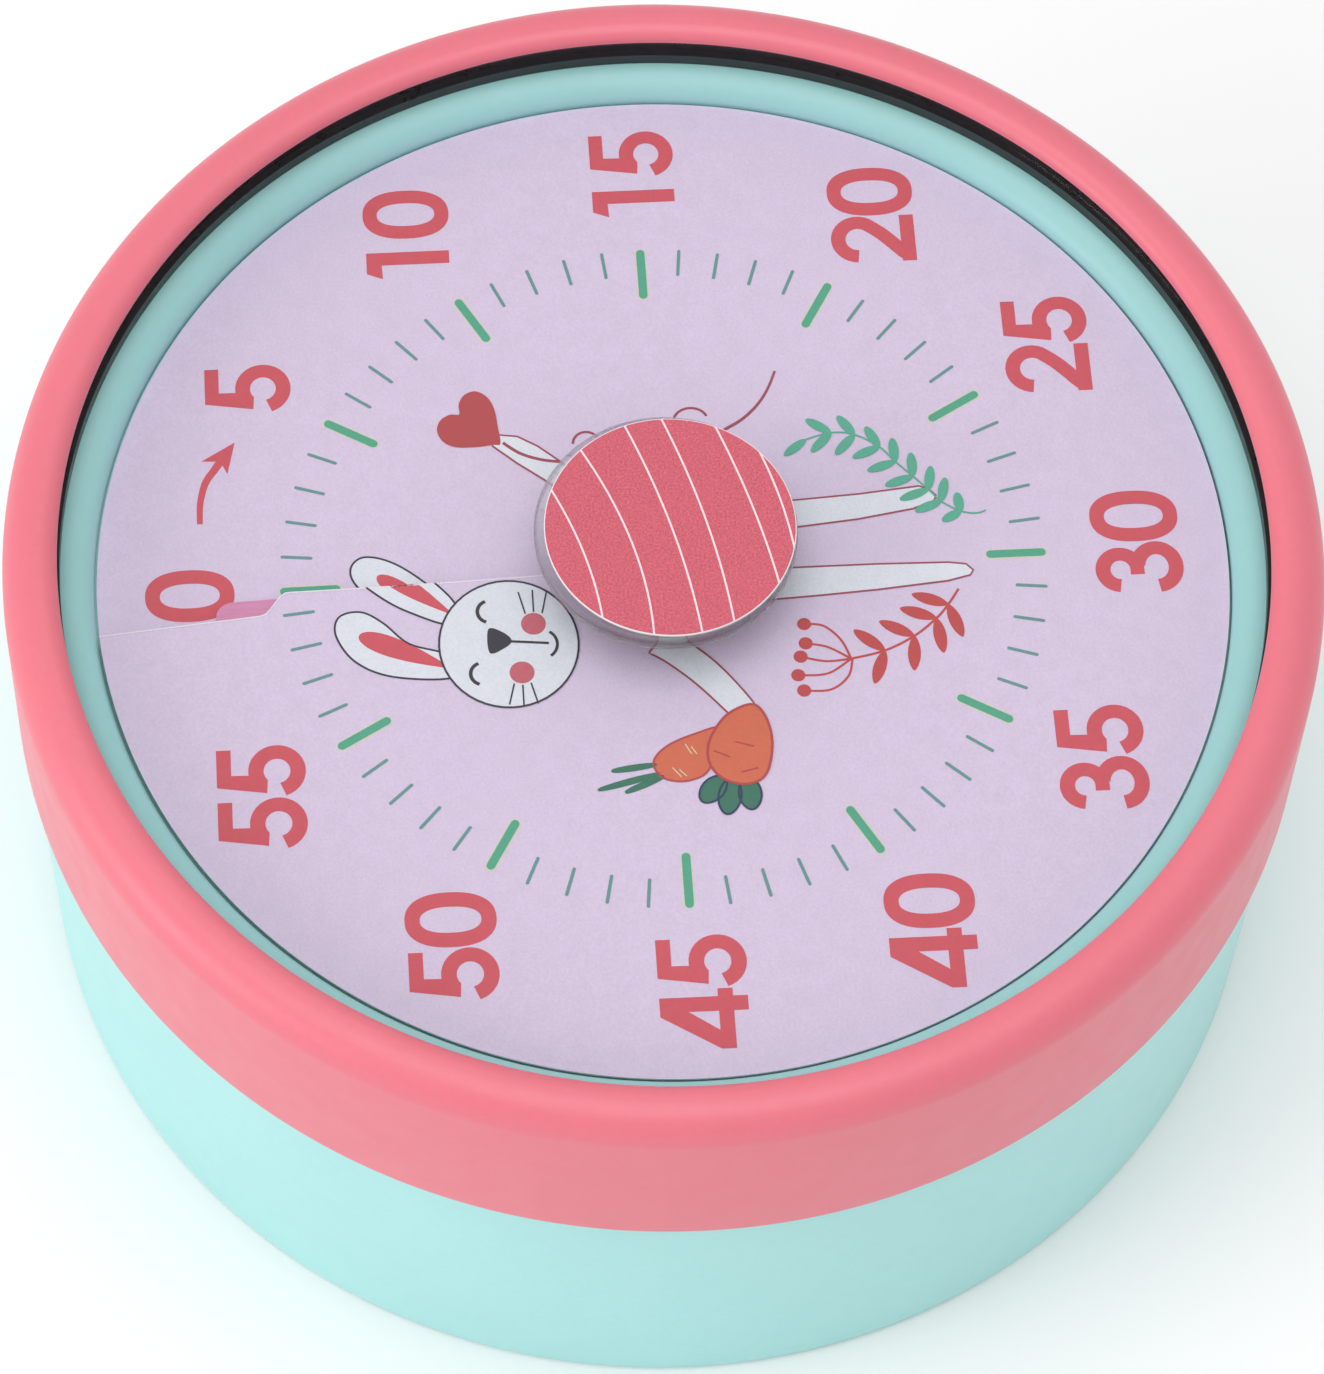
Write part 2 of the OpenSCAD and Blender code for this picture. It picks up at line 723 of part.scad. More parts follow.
module hammer_stud() {
    color(dark_steel) at(hammer_p) {
        translate([0, 0, cam_z - 0.75]) cylinder(r = hammer_stud_r + 0.8, h = 0.65);
        translate([0, 0, cam_z - 0.1]) cylinder(r = hammer_stud_r, h = rear_plate_z - gap - cam_z + 0.1);
        translate([0, 0, rear_plate_z - gap]) cylinder(r = hammer_stud_r - 0.3, h = plate_t);
    }
}

module bell() {
    color(steel) translate([0, 0, bell_z]) rotate_extrude($fn = 128) polygon(concat(
        [[0.9 + play, 0]],
        arc(bell_r - 2.5, 2.5, 2.5, 2.5, -90, 0, 8),
        [[bell_r, bell_h], [bell_r - bell_wall, bell_h]],
        arc(bell_r - 2.5, 2.5, 2.5 - bell_wall, 2.5 - bell_wall, 0, -90, 8),
        [[0.9 + play, bell_wall]]
    ));
}

module bell_screw() {
    color(dark_steel) translate([0, 0, bell_z + bell_wall + gap]) difference() {
        union() {
            cylinder(r = 2.2, h = 1);
            translate([0, 0, 1.5 - bell_z]) cylinder(r = 0.9, h = bell_z - 1.5);
        }
        translate([-3, -0.3, 0.5]) cube([6, 0.6, 1]);
    }
}

case();
bezel();
lens();
lens_gasket();
dial_card();
time_disc();
disc_hub();
knob();
knob_label();
rear_cover();
cover_screws();
magnets();
front_plate();
rear_plate();
pillars();
pillar_screws();
movement_screws();
main_arbor();
mainspring();
spring_post();
great_wheel();
ratchet_wheel();
click();
click_screw();
click_spring();
second_wheel();
second_arbor();
third_wheel();
third_arbor();
escape_wheel();
escape_arbor();
pallet_lever();
pallet_arbor();
balance_wheel();
balance_staff();
hairspring();
hairspring_stud();
alarm_cam();
hammer_lever();
hammer_head();
hammer_stud();
bell();
bell_screw();
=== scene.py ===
import json
import math

import bpy
from mathutils import Matrix, Vector
from mathutils.geometry import delaunay_2d_cdt


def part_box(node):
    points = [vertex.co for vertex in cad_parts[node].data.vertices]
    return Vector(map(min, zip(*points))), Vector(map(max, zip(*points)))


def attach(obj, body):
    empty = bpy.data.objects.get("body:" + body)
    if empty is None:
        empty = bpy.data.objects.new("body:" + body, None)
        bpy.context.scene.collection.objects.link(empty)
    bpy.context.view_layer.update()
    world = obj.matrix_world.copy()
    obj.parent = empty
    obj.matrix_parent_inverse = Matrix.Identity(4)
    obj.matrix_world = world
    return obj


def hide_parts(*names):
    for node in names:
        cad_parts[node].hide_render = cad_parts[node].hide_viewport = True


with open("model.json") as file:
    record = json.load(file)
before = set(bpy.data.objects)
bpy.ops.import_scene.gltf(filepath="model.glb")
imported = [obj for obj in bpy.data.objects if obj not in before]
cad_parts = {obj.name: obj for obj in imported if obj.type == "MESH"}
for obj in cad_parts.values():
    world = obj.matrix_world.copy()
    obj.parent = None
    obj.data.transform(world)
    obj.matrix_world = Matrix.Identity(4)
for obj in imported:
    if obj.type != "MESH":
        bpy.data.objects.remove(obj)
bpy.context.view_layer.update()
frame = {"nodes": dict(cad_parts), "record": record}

# The kitchen timer's looks. Lengths are in millimetres until a mesh is made. On the dial, +Y is the
# 0 mark and +X the 15 mark, and a "time angle" is in degrees clockwise from the 0 mark.

MM = 0.001
ROUND_STEPS = 288


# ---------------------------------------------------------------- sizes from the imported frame

def reach(node):
    """The outer radius, bottom and top of a round CAD node."""
    low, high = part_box(node)
    return (high.x - low.x) / 2 / MM, low.z / MM, high.z / MM


CASE_TOP_R, CASE_LOW, CASE_HIGH = reach("case")
BEZEL_R, BEZEL_LOW, BEZEL_HIGH = reach("bezel")
LENS_R, LENS_LOW, LENS_HIGH = reach("lens")
GASKET_R, GASKET_LOW, GASKET_HIGH = reach("lens_gasket")
CARD_R, _, CARD_HIGH = reach("dial_card")
DISC_R, _, _ = reach("time_disc")
KNOB_R, KNOB_LOW, KNOB_HIGH = reach("knob")
LABEL_R, LABEL_LOW, LABEL_HIGH = reach("knob_label")
COVER_R, _, COVER_HIGH = reach("rear_cover")

# The case: its foot is a little narrower than its top, and the bezel sits on its neck.
CASE_FOOT_R = CASE_TOP_R - 0.4
FOOT_ROUND = 0.8
NECK_R = GASKET_R + 0.1
NECK_Z = BEZEL_LOW - 0.1
NECK_BORE_R = NECK_R - 2.7
WALL_BORE_R = CASE_FOOT_R - 2.3
RING_LOW_Z = CASE_HIGH - 1.35
RING_INNER_R = CARD_R + 0.15
RING_W = 1.9
DIAL_SEAT_Z = CASE_HIGH - 2.0
DISC_RECESS_R = DISC_R + 0.8
DISC_RECESS_Z = CASE_HIGH - 2.6
DECK_BOTTOM = CASE_HIGH - 3.4
DECK_HOLE_R = 3.3
COVER_POCKET_R = COVER_R + 0.1
COVER_POCKET_Z = COVER_HIGH - 2.15

# The bezel, the lens and the gasket under it.
BEZEL_BORE_R = NECK_R + 0.1
BEZEL_FOOT_ROUND = 0.5
BEZEL_ROUND = (2.1, 2.05)
LIP_ROUND = (1.0, 0.8)
LIP_Z = LENS_HIGH + 0.05
WINDOW_R = LENS_R - 0.35
LENS_HOLE_R = 3.6
LENS_EDGE = 0.1
SEAL_R = WINDOW_R + 0.4
SEAL_Z = LENS_LOW - 0.02

# The knob and its label, which lies a little off its middle.
KNOB_STEM_R = 3.4
KNOB_BORE_R = 1.52
KNOB_BORE_Z = KNOB_HIGH - 1.13
KNOB_PLATE_Z = KNOB_HIGH - 1.0
KNOB_FOOT_ROUND = 0.25
KNOB_ROUND = 0.3
LABEL_Y = sum(v.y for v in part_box("knob_label")) / 2 / MM
LABEL_PRINT_Z = LABEL_HIGH - 0.045
LABEL_EDGE = 0.02
LABEL_MARGIN = 0.06

# The camera looks down from beside the dial, near the 45 mark. Its lengths are in metres, apart from
# the lens in millimetres, and its angles are in degrees.
VIEW_TURN = 173.813
VIEW_RISE = 59.46
VIEW_DISTANCE = 0.3493
VIEW_TARGET_Z = 0.0320
VIEW_PAN = 0.0385
VIEW_TILT = -1.1684
VIEW_ROLL = 2.879
VIEW_LENS = 152.48

# The dial card climbs as it goes round, and its end lies over its start at the slit.
SLIT_RISE = 0.9
SHEET_T = 0.16
CARD_START = -9.0
CARD_HOLE_R = 4.2
FLAP_INNER = 357.0
FLAP_MIDDLE = 358.0
FLAP_OUTER = 354.5
FLAP_STEP = (22.6, 24.3)
CARD_Z = CARD_HIGH - SLIT_RISE * FLAP_MIDDLE / 360
DISC_Z = CARD_Z + SLIT_RISE / 2
DISC_HOLE_R = 3.0
DISC_CORNER = 1.1
DISC_EDGE = -2.4
DISC_EDGE_INNER = -3.2
DISC_SPAN = 357.0
INK_T = 0.012
INK_LIFT = 0.012
INK_STEP = 0.010


# ---------------------------------------------------------------- colours and materials

def linear(srgb):
    """A shader colour from sRGB values of 0 to 255."""
    def channel(v):
        v = v / 255
        return v / 12.92 if v <= 0.04045 else ((v + 0.055) / 1.055) ** 2.4
    return (*[channel(v) for v in srgb], 1.0)


# The places of a colour Mix node's two inputs and of its output.
MIX_A, MIX_B, MIX_OUT = 6, 7, 2


def link_noise(tree, size_mm, detail=3.0, stretch=None):
    """A noise texture in the object's own coordinates, whose blobs are about size_mm across."""
    coordinates = tree.nodes.new("ShaderNodeTexCoord")
    noise = tree.nodes.new("ShaderNodeTexNoise")
    noise.inputs["Scale"].default_value = 1 / (size_mm * MM)
    noise.inputs["Detail"].default_value = detail
    if stretch:
        mapping = tree.nodes.new("ShaderNodeMapping")
        mapping.inputs["Scale"].default_value = stretch
        tree.links.new(coordinates.outputs["Object"], mapping.inputs["Vector"])
        tree.links.new(mapping.outputs["Vector"], noise.inputs["Vector"])
    else:
        tree.links.new(coordinates.outputs["Object"], noise.inputs["Vector"])
    return noise.outputs["Fac"]


def link_range(tree, source, low, high, spread=0.2):
    """source's middle values, spread to either side of 0.5, mapped to low..high."""
    node = tree.nodes.new("ShaderNodeMapRange")
    node.inputs["From Min"].default_value = 0.5 - spread
    node.inputs["From Max"].default_value = 0.5 + spread
    node.inputs["To Min"].default_value = low
    node.inputs["To Max"].default_value = high
    tree.links.new(source, node.inputs["Value"])
    return node.outputs["Result"]


def surface(name, srgb, rough, tones=((5.0, 0.02),), rough_vary=0.04, rough_mm=2.0,
            bumps=((0.25, 0.002),), stretch=None, **sockets):
    """A Principled material. tones are (blob size, share of brightness) noises that vary its colour,
    and bumps are (grain size, height) noises, all in millimetres. sockets are plain values."""
    material = bpy.data.materials.new(name)
    material.use_nodes = True
    tree = material.node_tree
    shader = tree.nodes["Principled BSDF"]
    shader.inputs["Base Color"].default_value = linear(srgb)
    for socket, value in sockets.items():
        shader.inputs[socket.replace("_", " ")].default_value = value
    colour = None
    for size, share in tones:
        mix = tree.nodes.new("ShaderNodeMix")
        mix.data_type = "RGBA"
        mix.blend_type = "MULTIPLY"
        mix.inputs["Factor"].default_value = 1.0
        if colour is None:
            mix.inputs[MIX_A].default_value = linear(srgb)
        else:
            tree.links.new(colour, mix.inputs[MIX_A])
        value = link_range(tree, link_noise(tree, size, stretch=stretch), 1 - share, 1 + share)
        tree.links.new(value, mix.inputs[MIX_B])
        colour = mix.outputs[MIX_OUT]
    if colour:
        tree.links.new(colour, shader.inputs["Base Color"])
    rough_noise = link_noise(tree, rough_mm, stretch=stretch)
    low, high = max(rough - rough_vary, 0.02), min(rough + rough_vary, 1.0)
    tree.links.new(link_range(tree, rough_noise, low, high), shader.inputs["Roughness"])
    normal = None
    for size, height in bumps:
        bump = tree.nodes.new("ShaderNodeBump")
        bump.inputs["Strength"].default_value = 1.0
        bump.inputs["Distance"].default_value = height * MM
        tree.links.new(link_noise(tree, size, stretch=stretch), bump.inputs["Height"])
        if normal:
            tree.links.new(normal, bump.inputs["Normal"])
        normal = bump.outputs["Normal"]
    if normal:
        tree.links.new(normal, shader.inputs["Normal"])
    return material


CLEAR_SHARE = 0.957
GRAZING_SHARE = 0.5


def clear_window(name, rough, straight, bent=0.0):
    """Thin clear plastic. Each face lets CLEAR_SHARE of the light through, and reflects a share that
    grows from `straight` to GRAZING_SHARE at a slant. A share `bent` of what goes through is
    refracted, which draws the edges of a thick piece."""
    material = bpy.data.materials.new(name)
    material.use_nodes = True
    tree = material.node_tree
    tree.nodes.remove(tree.nodes["Principled BSDF"])
    output = tree.nodes["Material Output"]
    smudge = link_range(tree, link_noise(tree, 9.0), rough * 0.6, rough * 1.6)
    gloss = tree.nodes.new("ShaderNodeBsdfGlossy")
    tree.links.new(smudge, gloss.inputs["Roughness"])
    facing = tree.nodes.new("ShaderNodeLayerWeight")
    facing.inputs["Blend"].default_value = 0.5
    steep = tree.nodes.new("ShaderNodeMath")
    steep.operation = "POWER"
    steep.inputs[1].default_value = 5.0
    tree.links.new(facing.outputs["Facing"], steep.inputs[0])
    reflected = link_range(tree, steep.outputs["Value"], straight, GRAZING_SHARE, spread=0.5)
    clear = tree.nodes.new("ShaderNodeBsdfTransparent")
    clear.inputs["Color"].default_value = (CLEAR_SHARE, CLEAR_SHARE, CLEAR_SHARE, 1)
    through = clear.outputs["BSDF"]
    if bent:
        glass = tree.nodes.new("ShaderNodeBsdfGlass")
        glass.inputs["IOR"].default_value = 1.45
        tree.links.new(smudge, glass.inputs["Roughness"])
        share = tree.nodes.new("ShaderNodeMixShader")
        share.inputs["Fac"].default_value = bent
        tree.links.new(through, share.inputs[1])
        tree.links.new(glass.outputs["BSDF"], share.inputs[2])
        through = share.outputs["Shader"]
    mix = tree.nodes.new("ShaderNodeMixShader")
    tree.links.new(reflected, mix.inputs["Fac"])
    tree.links.new(through, mix.inputs[1])
    tree.links.new(gloss.outputs["BSDF"], mix.inputs[2])
    tree.links.new(mix.outputs["Shader"], output.inputs["Surface"])
    return material


SATIN = dict(tones=((14.0, 0.015), (0.5, 0.012)), bumps=((0.22, 0.0022), (1.6, 0.003)))
PRINT = dict(tones=((0.16, 0.05), (1.2, 0.02)), bumps=((0.12, 0.003),), rough_vary=0.06)
METAL = dict(stretch=(1.0, 0.06, 1.0), Metallic=1.0)

mint = surface("mint_plastic", (172, 230, 228), 0.42, Coat_Weight=0.12, Coat_Roughness=0.3, **SATIN)
coral = surface("coral_plastic", (234, 118, 133), 0.42, Coat_Weight=0.1, Coat_Roughness=0.35, **SATIN)
rubber = surface("black_gasket", (42, 38, 42), 0.34, rough_vary=0.1)
lilac = surface("lilac_card", (231, 214, 241), 0.62, **PRINT)
paper = surface("white_paper", (240, 238, 240), 0.75, bumps=((0.1, 0.004),))
cut_edge = surface("cut_edge_white", (250, 242, 252), 0.7, **PRINT)
film = surface("pink_film", (226, 150, 190), 0.35, tones=((0.25, 0.05),), bumps=((0.3, 0.001),),
               stretch=(1.0, 0.2, 1.0))
acetal = surface("white_acetal", (232, 232, 228), 0.45, tones=((4.0, 0.015),))
label_ink = surface("coral_label", (208, 93, 110), 0.5, tones=((0.13, 0.26), (0.6, 0.03)),
                    bumps=((0.13, 0.008),))
stripe_ink = surface("stripe_ink", (250, 222, 228), 0.5, **PRINT)
numeral_ink = surface("coral_ink", (222, 92, 104), 0.55, **PRINT)
tick_ink = surface("green_ink", (90, 178, 148), 0.55, **PRINT)
thin_tick_ink = surface("grey_green_ink", (112, 160, 158), 0.55, **PRINT)
halo_ink = surface("yellow_ink", (226, 226, 190), 0.6, **PRINT)
white_ink = surface("white_ink", (238, 242, 252), 0.6, **PRINT)
dark_ink = surface("dark_ink", (62, 58, 70), 0.55, **PRINT)
navy_ink = surface("navy_ink", (52, 68, 100), 0.55, **PRINT)
line_ink = surface("outline_ink", (170, 80, 96), 0.55, **PRINT)
heart_ink = surface("red_ink", (194, 80, 84), 0.55, **PRINT)
cheek_ink = surface("cheek_ink", (212, 108, 122), 0.55, **PRINT)
carrot_ink = surface("orange_ink", (228, 118, 88), 0.55, **PRINT)
berry_ink = surface("berry_ink", (206, 82, 82), 0.55, **PRINT)
leaf_ink = surface("leaf_ink", (98, 186, 158), 0.55, **PRINT)
carrot_leaf_ink = surface("carrot_leaf_ink", (66, 126, 104), 0.55, **PRINT)
brass = surface("rolled_brass", (214, 176, 98), 0.3, tones=((3.0, 0.06),), rough_vary=0.08, **METAL)
steel = surface("bright_steel", (188, 190, 194), 0.26, tones=((3.0, 0.05),), rough_vary=0.08, **METAL)
dark_steel = surface("blackened_steel", (96, 100, 106), 0.36, tones=((2.0, 0.08),), **METAL)
nickel = surface("nickel_plate", (206, 204, 200), 0.2, tones=((5.0, 0.04),), rough_vary=0.07, **METAL)
lens_clear = clear_window("clear_lens", 0.05, 0.009)
knob_clear = clear_window("clear_plastic", 0.08, 0.018, bent=0.45)


# ---------------------------------------------------------------- meshes

def make_mesh(name, points, faces, materials, indices=None, sharp=30):
    """A smooth mesh, whose edges over `sharp` degrees stay crisp. points are in millimetres."""
    mesh = bpy.data.meshes.new(name)
    mesh.from_pydata([Vector(p) * MM for p in points], [], faces)
    for material in materials:
        mesh.materials.append(material)
    if indices:
        mesh.polygons.foreach_set("material_index", indices)
    mesh.polygons.foreach_set("use_smooth", [True] * len(mesh.polygons))
    mesh.set_sharp_from_angle(angle=math.radians(sharp))
    mesh.validate()
    piece = bpy.data.objects.new(name, mesh)
    bpy.context.scene.collection.objects.link(piece)
    return piece


def belongs(piece, body, slot, *nodes):
    """The piece moves with body and stands for the CAD nodes, which it hides. slot is not used."""
    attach(piece, body)
    if nodes:
        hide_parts(*nodes)
    return piece


def arc(x, y, rx, ry, start, end, steps=12):
    """Points along an arc, anticlockwise if end is over start, in degrees from +X."""
    angles = [math.radians(start + (end - start) * i / steps) for i in range(steps + 1)]
    return [(x + rx * math.cos(a), y + ry * math.sin(a)) for a in angles]


def revolve(name, outline, material, y=0.0):
    """A closed outline of (radius, height) turned round an upright axis at x = 0 and y."""
    points, rings = [], []
    for r, z in outline:
        count = ROUND_STEPS if r > 1e-6 else 1
        first = len(points)
        rings.append([first + i % count for i in range(ROUND_STEPS)])
        for i in range(count):
            a = 2 * math.pi * i / ROUND_STEPS
            points.append((r * math.cos(a), y + r * math.sin(a), z))
    faces = []
    for low, high in zip(rings, rings[1:] + rings[:1]):
        for i in range(ROUND_STEPS):
            k = (i + 1) % ROUND_STEPS
            corners = tuple(dict.fromkeys((low[i], low[k], high[k], high[i])))
            if len(corners) > 2:
                faces.append(corners)
    return make_mesh(name, points, faces, [material])


def time_angle(x, y):
    """Degrees clockwise from the 0 mark, from -180 to 180."""
    return math.degrees(math.atan2(x, y))


def at_time(r, t):
    """The point at radius r and time angle t."""
    a = math.radians(t)
    return r * math.sin(a), r * math.cos(a)


def blend_step(v, low, high):
    """Rises smoothly from 0 at low to 1 at high."""
    s = min(max((v - low) / (high - low), 0.0), 1.0)
    return s * s * (3 - 2 * s)


def flap_edge(r):
    """The time angle at which the card ends, which steps back outside the minute ticks."""
    share = min(max((r - CARD_HOLE_R) / (FLAP_STEP[0] - CARD_HOLE_R), 0.0), 1.0)
    inner = FLAP_INNER + (FLAP_MIDDLE - FLAP_INNER) * share
    return inner + (FLAP_OUTER - inner) * blend_step(r, *FLAP_STEP)


def disc_edge(r):
    """The disc's leading edge, which is hidden near the hub, with its outer corner rounded."""
    inside = max(r - (DISC_R - DISC_CORNER), 0.0)
    back = DISC_CORNER - math.sqrt(max(DISC_CORNER * DISC_CORNER - inside * inside, 0.0))
    hidden = (DISC_EDGE - DISC_EDGE_INNER) * (1 - blend_step(r, 15.0, 22.0))
    return DISC_EDGE - hidden - math.degrees(back / r)


def radii(low, high, fine):
    """Radii about 1 mm apart, and closer together within `fine`."""
    out = {round(low + (high - low) * i / 30, 4) for i in range(31)}
    out |= {round(fine[0] + (fine[1] - fine[0]) * i / 14, 4) for i in range(15)}
    return sorted(out)


def climbing_sheet(name, stations, start, edge, top_z, face_material, back_material, columns=300):
    """One turn of thin card or film that climbs clockwise from `start` to edge(r). Its top has the
    face material, and its back and its cut edges the other one."""
    points, faces, indices = [], [], []
    rows = len(stations)
    for drop in (0.0, SHEET_T):
        for r in stations:
            for i in range(columns + 1):
                t = start + (edge(r) - start) * i / columns
                x, y = at_time(r, t)
                points.append((x, y, top_z + SLIT_RISE * t / 360 - drop))

    def at(side, j, i):
        return (side * rows + j) * (columns + 1) + i

    def add(face, index):
        faces.append(face)
        indices.append(index)

    for j in range(rows - 1):
        for i in range(columns):
            add((at(0, j, i), at(0, j, i + 1), at(0, j + 1, i + 1), at(0, j + 1, i))[::-1], 0)
            add((at(1, j, i), at(1, j, i + 1), at(1, j + 1, i + 1), at(1, j + 1, i)), 1)
        add((at(0, j, 0), at(0, j + 1, 0), at(1, j + 1, 0), at(1, j, 0))[::-1], 1)
        c = columns
        add((at(0, j, c), at(0, j + 1, c), at(1, j + 1, c), at(1, j, c)), 1)
    for i in range(columns):
        add((at(0, 0, i), at(0, 0, i + 1), at(1, 0, i + 1), at(1, 0, i)), 1)
        k = rows - 1
        add((at(0, k, i), at(0, k, i + 1), at(1, k, i + 1), at(1, k, i))[::-1], 1)
    return make_mesh(name, points, faces, [face_material, back_material], indices, sharp=40)


# ---------------------------------------------------------------- printed shapes

def oval(x, y, rx, ry, steps=48):
    return arc(x, y, rx, ry, 0, 360 - 360 / steps, steps - 1)


def oblong(x, y, rx, ry, power=2.35, steps=48):
    """An oval with fuller corners."""
    def full(v):
        return math.copysign(abs(v) ** (2 / power), v)
    angles = [2 * math.pi * i / steps for i in range(steps)]
    return [(x + rx * full(math.cos(a)), y + ry * full(math.sin(a))) for a in angles]


def band(points, width, closed=False):
    """Quads that follow a line. width is one number, or the widths at its start and end."""
    start, end = width if isinstance(width, tuple) else (width, width)
    count = len(points)
    sides = []
    for i, (x, y) in enumerate(points):
        before = points[i - 1] if closed or i else points[0]
        after = points[(i + 1) % count] if closed or i + 1 < count else points[-1]
        dx, dy = after[0] - before[0], after[1] - before[1]
        length = math.hypot(dx, dy) or 1.0
        half = (start + (end - start) * i / max(count - 1, 1)) / 2
        nx, ny = -dy / length * half, dx / length * half
        sides.append(((x + nx, y + ny), (x - nx, y - ny)))
    pairs = zip(sides, sides[1:] + (sides[:1] if closed else []))
    return [[a[0], b[0], b[1], a[1]] for a, b in pairs]


def between(a, b, c, d, t):
    """The point a share t of the way from b to c, on a Catmull-Rom curve through a, b, c and d."""
    return tuple(
        0.5 * (2 * q + (r - p) * t + (2 * p - 5 * q + 4 * r - s) * t * t
               + (3 * q - p - 3 * r + s) * t ** 3) for p, q, r, s in zip(a, b, c, d))


def smooth_line(points, steps=8):
    """A smooth curve through the points."""
    ends = [points[0]] + list(points) + [points[-1]]
    spans = zip(ends, ends[1:], ends[2:], ends[3:])
    return [between(*span, i / steps) for span in spans for i in range(steps)] + [points[-1]]


def smooth_loop(points, steps=8):
    """A smooth closed outline through the points."""
    spans = zip(points[-1:] + points[:-1], points, points[1:] + points[:1], points[2:] + points[:2])
    return [between(*span, i / steps) for span in spans for i in range(steps)]


def leaf(base, tip, width, blunt=0.6, steps=12):
    """A leaf from base to tip. It is pointed if blunt is 1 and has round ends if it is 0.5."""
    dx, dy = tip[0] - base[0], tip[1] - base[1]
    length = math.hypot(dx, dy)
    ux, uy = dx / length, dy / length
    one, other = [], []
    for i in range(1, steps):
        s = (1 - math.cos(math.pi * i / steps)) / 2
        half = width / 2 * math.sin(math.pi * s) ** blunt
        x, y = base[0] + dx * s, base[1] + dy * s
        one.append((x - uy * half, y + ux * half))
        other.append((x + uy * half, y - ux * half))
    return [base] + other + [tip] + one[::-1]


def drop(base, tip, width, steps=14):
    """A tapering shape that is pointed at its base and round at its tip."""
    dx, dy = tip[0] - base[0], tip[1] - base[1]
    length = math.hypot(dx, dy)
    one, other = [], []
    for i in range(1, steps):
        s = 1 - (1 - i / steps) ** 2
        half = width * 1.4 * s ** 1.2 * (1 - s) ** 0.5
        x, y = base[0] + dx * s, base[1] + dy * s
        one.append((x - dy / length * half, y + dx / length * half))
        other.append((x + dy / length * half, y - dx / length * half))
    return [base] + other + [tip] + one[::-1]


def anticlockwise(shape):
    """The outline in anticlockwise order, as the triangulation needs it."""
    doubled = sum(a[0] * b[1] - b[0] * a[1] for a, b in zip(shape, shape[1:] + shape[:1]))
    return shape if doubled > 0 else shape[::-1]


def card_height(low_side, x, y):
    """The card's top surface, on the side of the slit that comes after or before the 0 mark."""
    t = time_angle(x, y)
    if low_side:
        t = t if t > -90 else t + 360
    else:
        t = t + 360 if t < 90 else t
    return CARD_Z + SLIT_RISE * t / 360


def is_low_side(x, y):
    """True clockwise of the slit, where the card starts low, and False on the flap's side."""
    return time_angle(x, y) > flap_edge(math.hypot(x, y)) - 360


def slit_line():
    """Points along the flap's edge, from the hole in the card's middle to its rim."""
    steps = 90
    return [at_time(r, flap_edge(r))
            for r in (CARD_HOLE_R + (CARD_R - CARD_HOLE_R) * i / steps for i in range(steps + 1))]


def triangulated(outlines, on_card):
    """The plane cut along the outlines: its points, its triangles, and the outlines round each one.
    On the card it is cut along the slit too, and large shapes get points inside to bend at."""
    points, edges, loops = [], [], []
    for outline in outlines:
        first = len(points)
        points += [Vector(p) for p in outline]
        loops.append(list(range(first, len(points))))
    if on_card:
        for outline in outlines:
            xs, ys = [p[0] for p in outline], [p[1] for p in outline]
            if max(max(xs) - min(xs), max(ys) - min(ys)) > 1.2:
                nx, ny = int(max(xs) - min(xs)), int(max(ys) - min(ys))
                points += [Vector((min(xs) + i + 0.5, min(ys) + j + 0.5))
                           for i in range(nx) for j in range(ny)]
        slit = slit_line()
        first = len(points)
        points += [Vector(p) for p in slit]
        edges = [(first + i, first + i + 1) for i in range(len(slit) - 1)]
    flat, _, faces, _, _, sources = delaunay_2d_cdt(points, edges, loops, 1, 1e-5)
    return flat, faces, sources


def ink(name, shapes, material, layer, on_card=True, clip=None):
    """Closed, very thin solids of printed ink, merged where the shapes overlap and draped over the
    card on both sides of its slit, or laid flat on the knob's label and clipped to an outline."""
    outlines = [anticlockwise(shape) for shape in ([clip] if clip else []) + shapes]
    flat, faces, sources = triangulated(outlines, on_card)
    lift = INK_LIFT + INK_STEP * layer
    made, where, tops = [], {}, []
    for face, source in zip(faces, sources):
        if not source or (clip and (0 not in source or len(source) < 2)):
            continue
        x = sum(flat[v].x for v in face) / 3
        y = sum(flat[v].y for v in face) / 3
        low_side = is_low_side(x, y)
        corner = []
        for v in face:
            px, py = flat[v]
            z = card_height(low_side, px, py) if on_card else LABEL_PRINT_Z
            key = (v, round(z, 4))
            if key not in where:
                where[key] = len(made)
                made.append((px, py, z + lift))
            corner.append(where[key])
        tops.append(tuple(corner))
    count = len(made)
    below = [(x, y, z - INK_T) for x, y, z in made]
    sides = dict.fromkeys(side for face in tops for side in zip(face, face[1:] + face[:1]))
    walls = [(b, a, a + count, b + count) for a, b in sides if (b, a) not in sides]
    bottoms = [tuple(v + count for v in face[::-1]) for face in tops]
    return make_mesh(name, made + below, tops + bottoms + walls, [material], sharp=40)


def card_ink(name, shapes, material, layer):
    belongs(ink(name, shapes, material, layer), "housing", "printed_paper")


# ---------------------------------------------------------------- numerals

# A digit's height, how far round ones reach past it, the stroke, and the gap after a digit.
CAP = 5.12
OVER = 0.11
STROKE = 0.9
HALF = STROKE / 2
GAP = 0.06
WIDE_GAPS = {"1": 1.0}


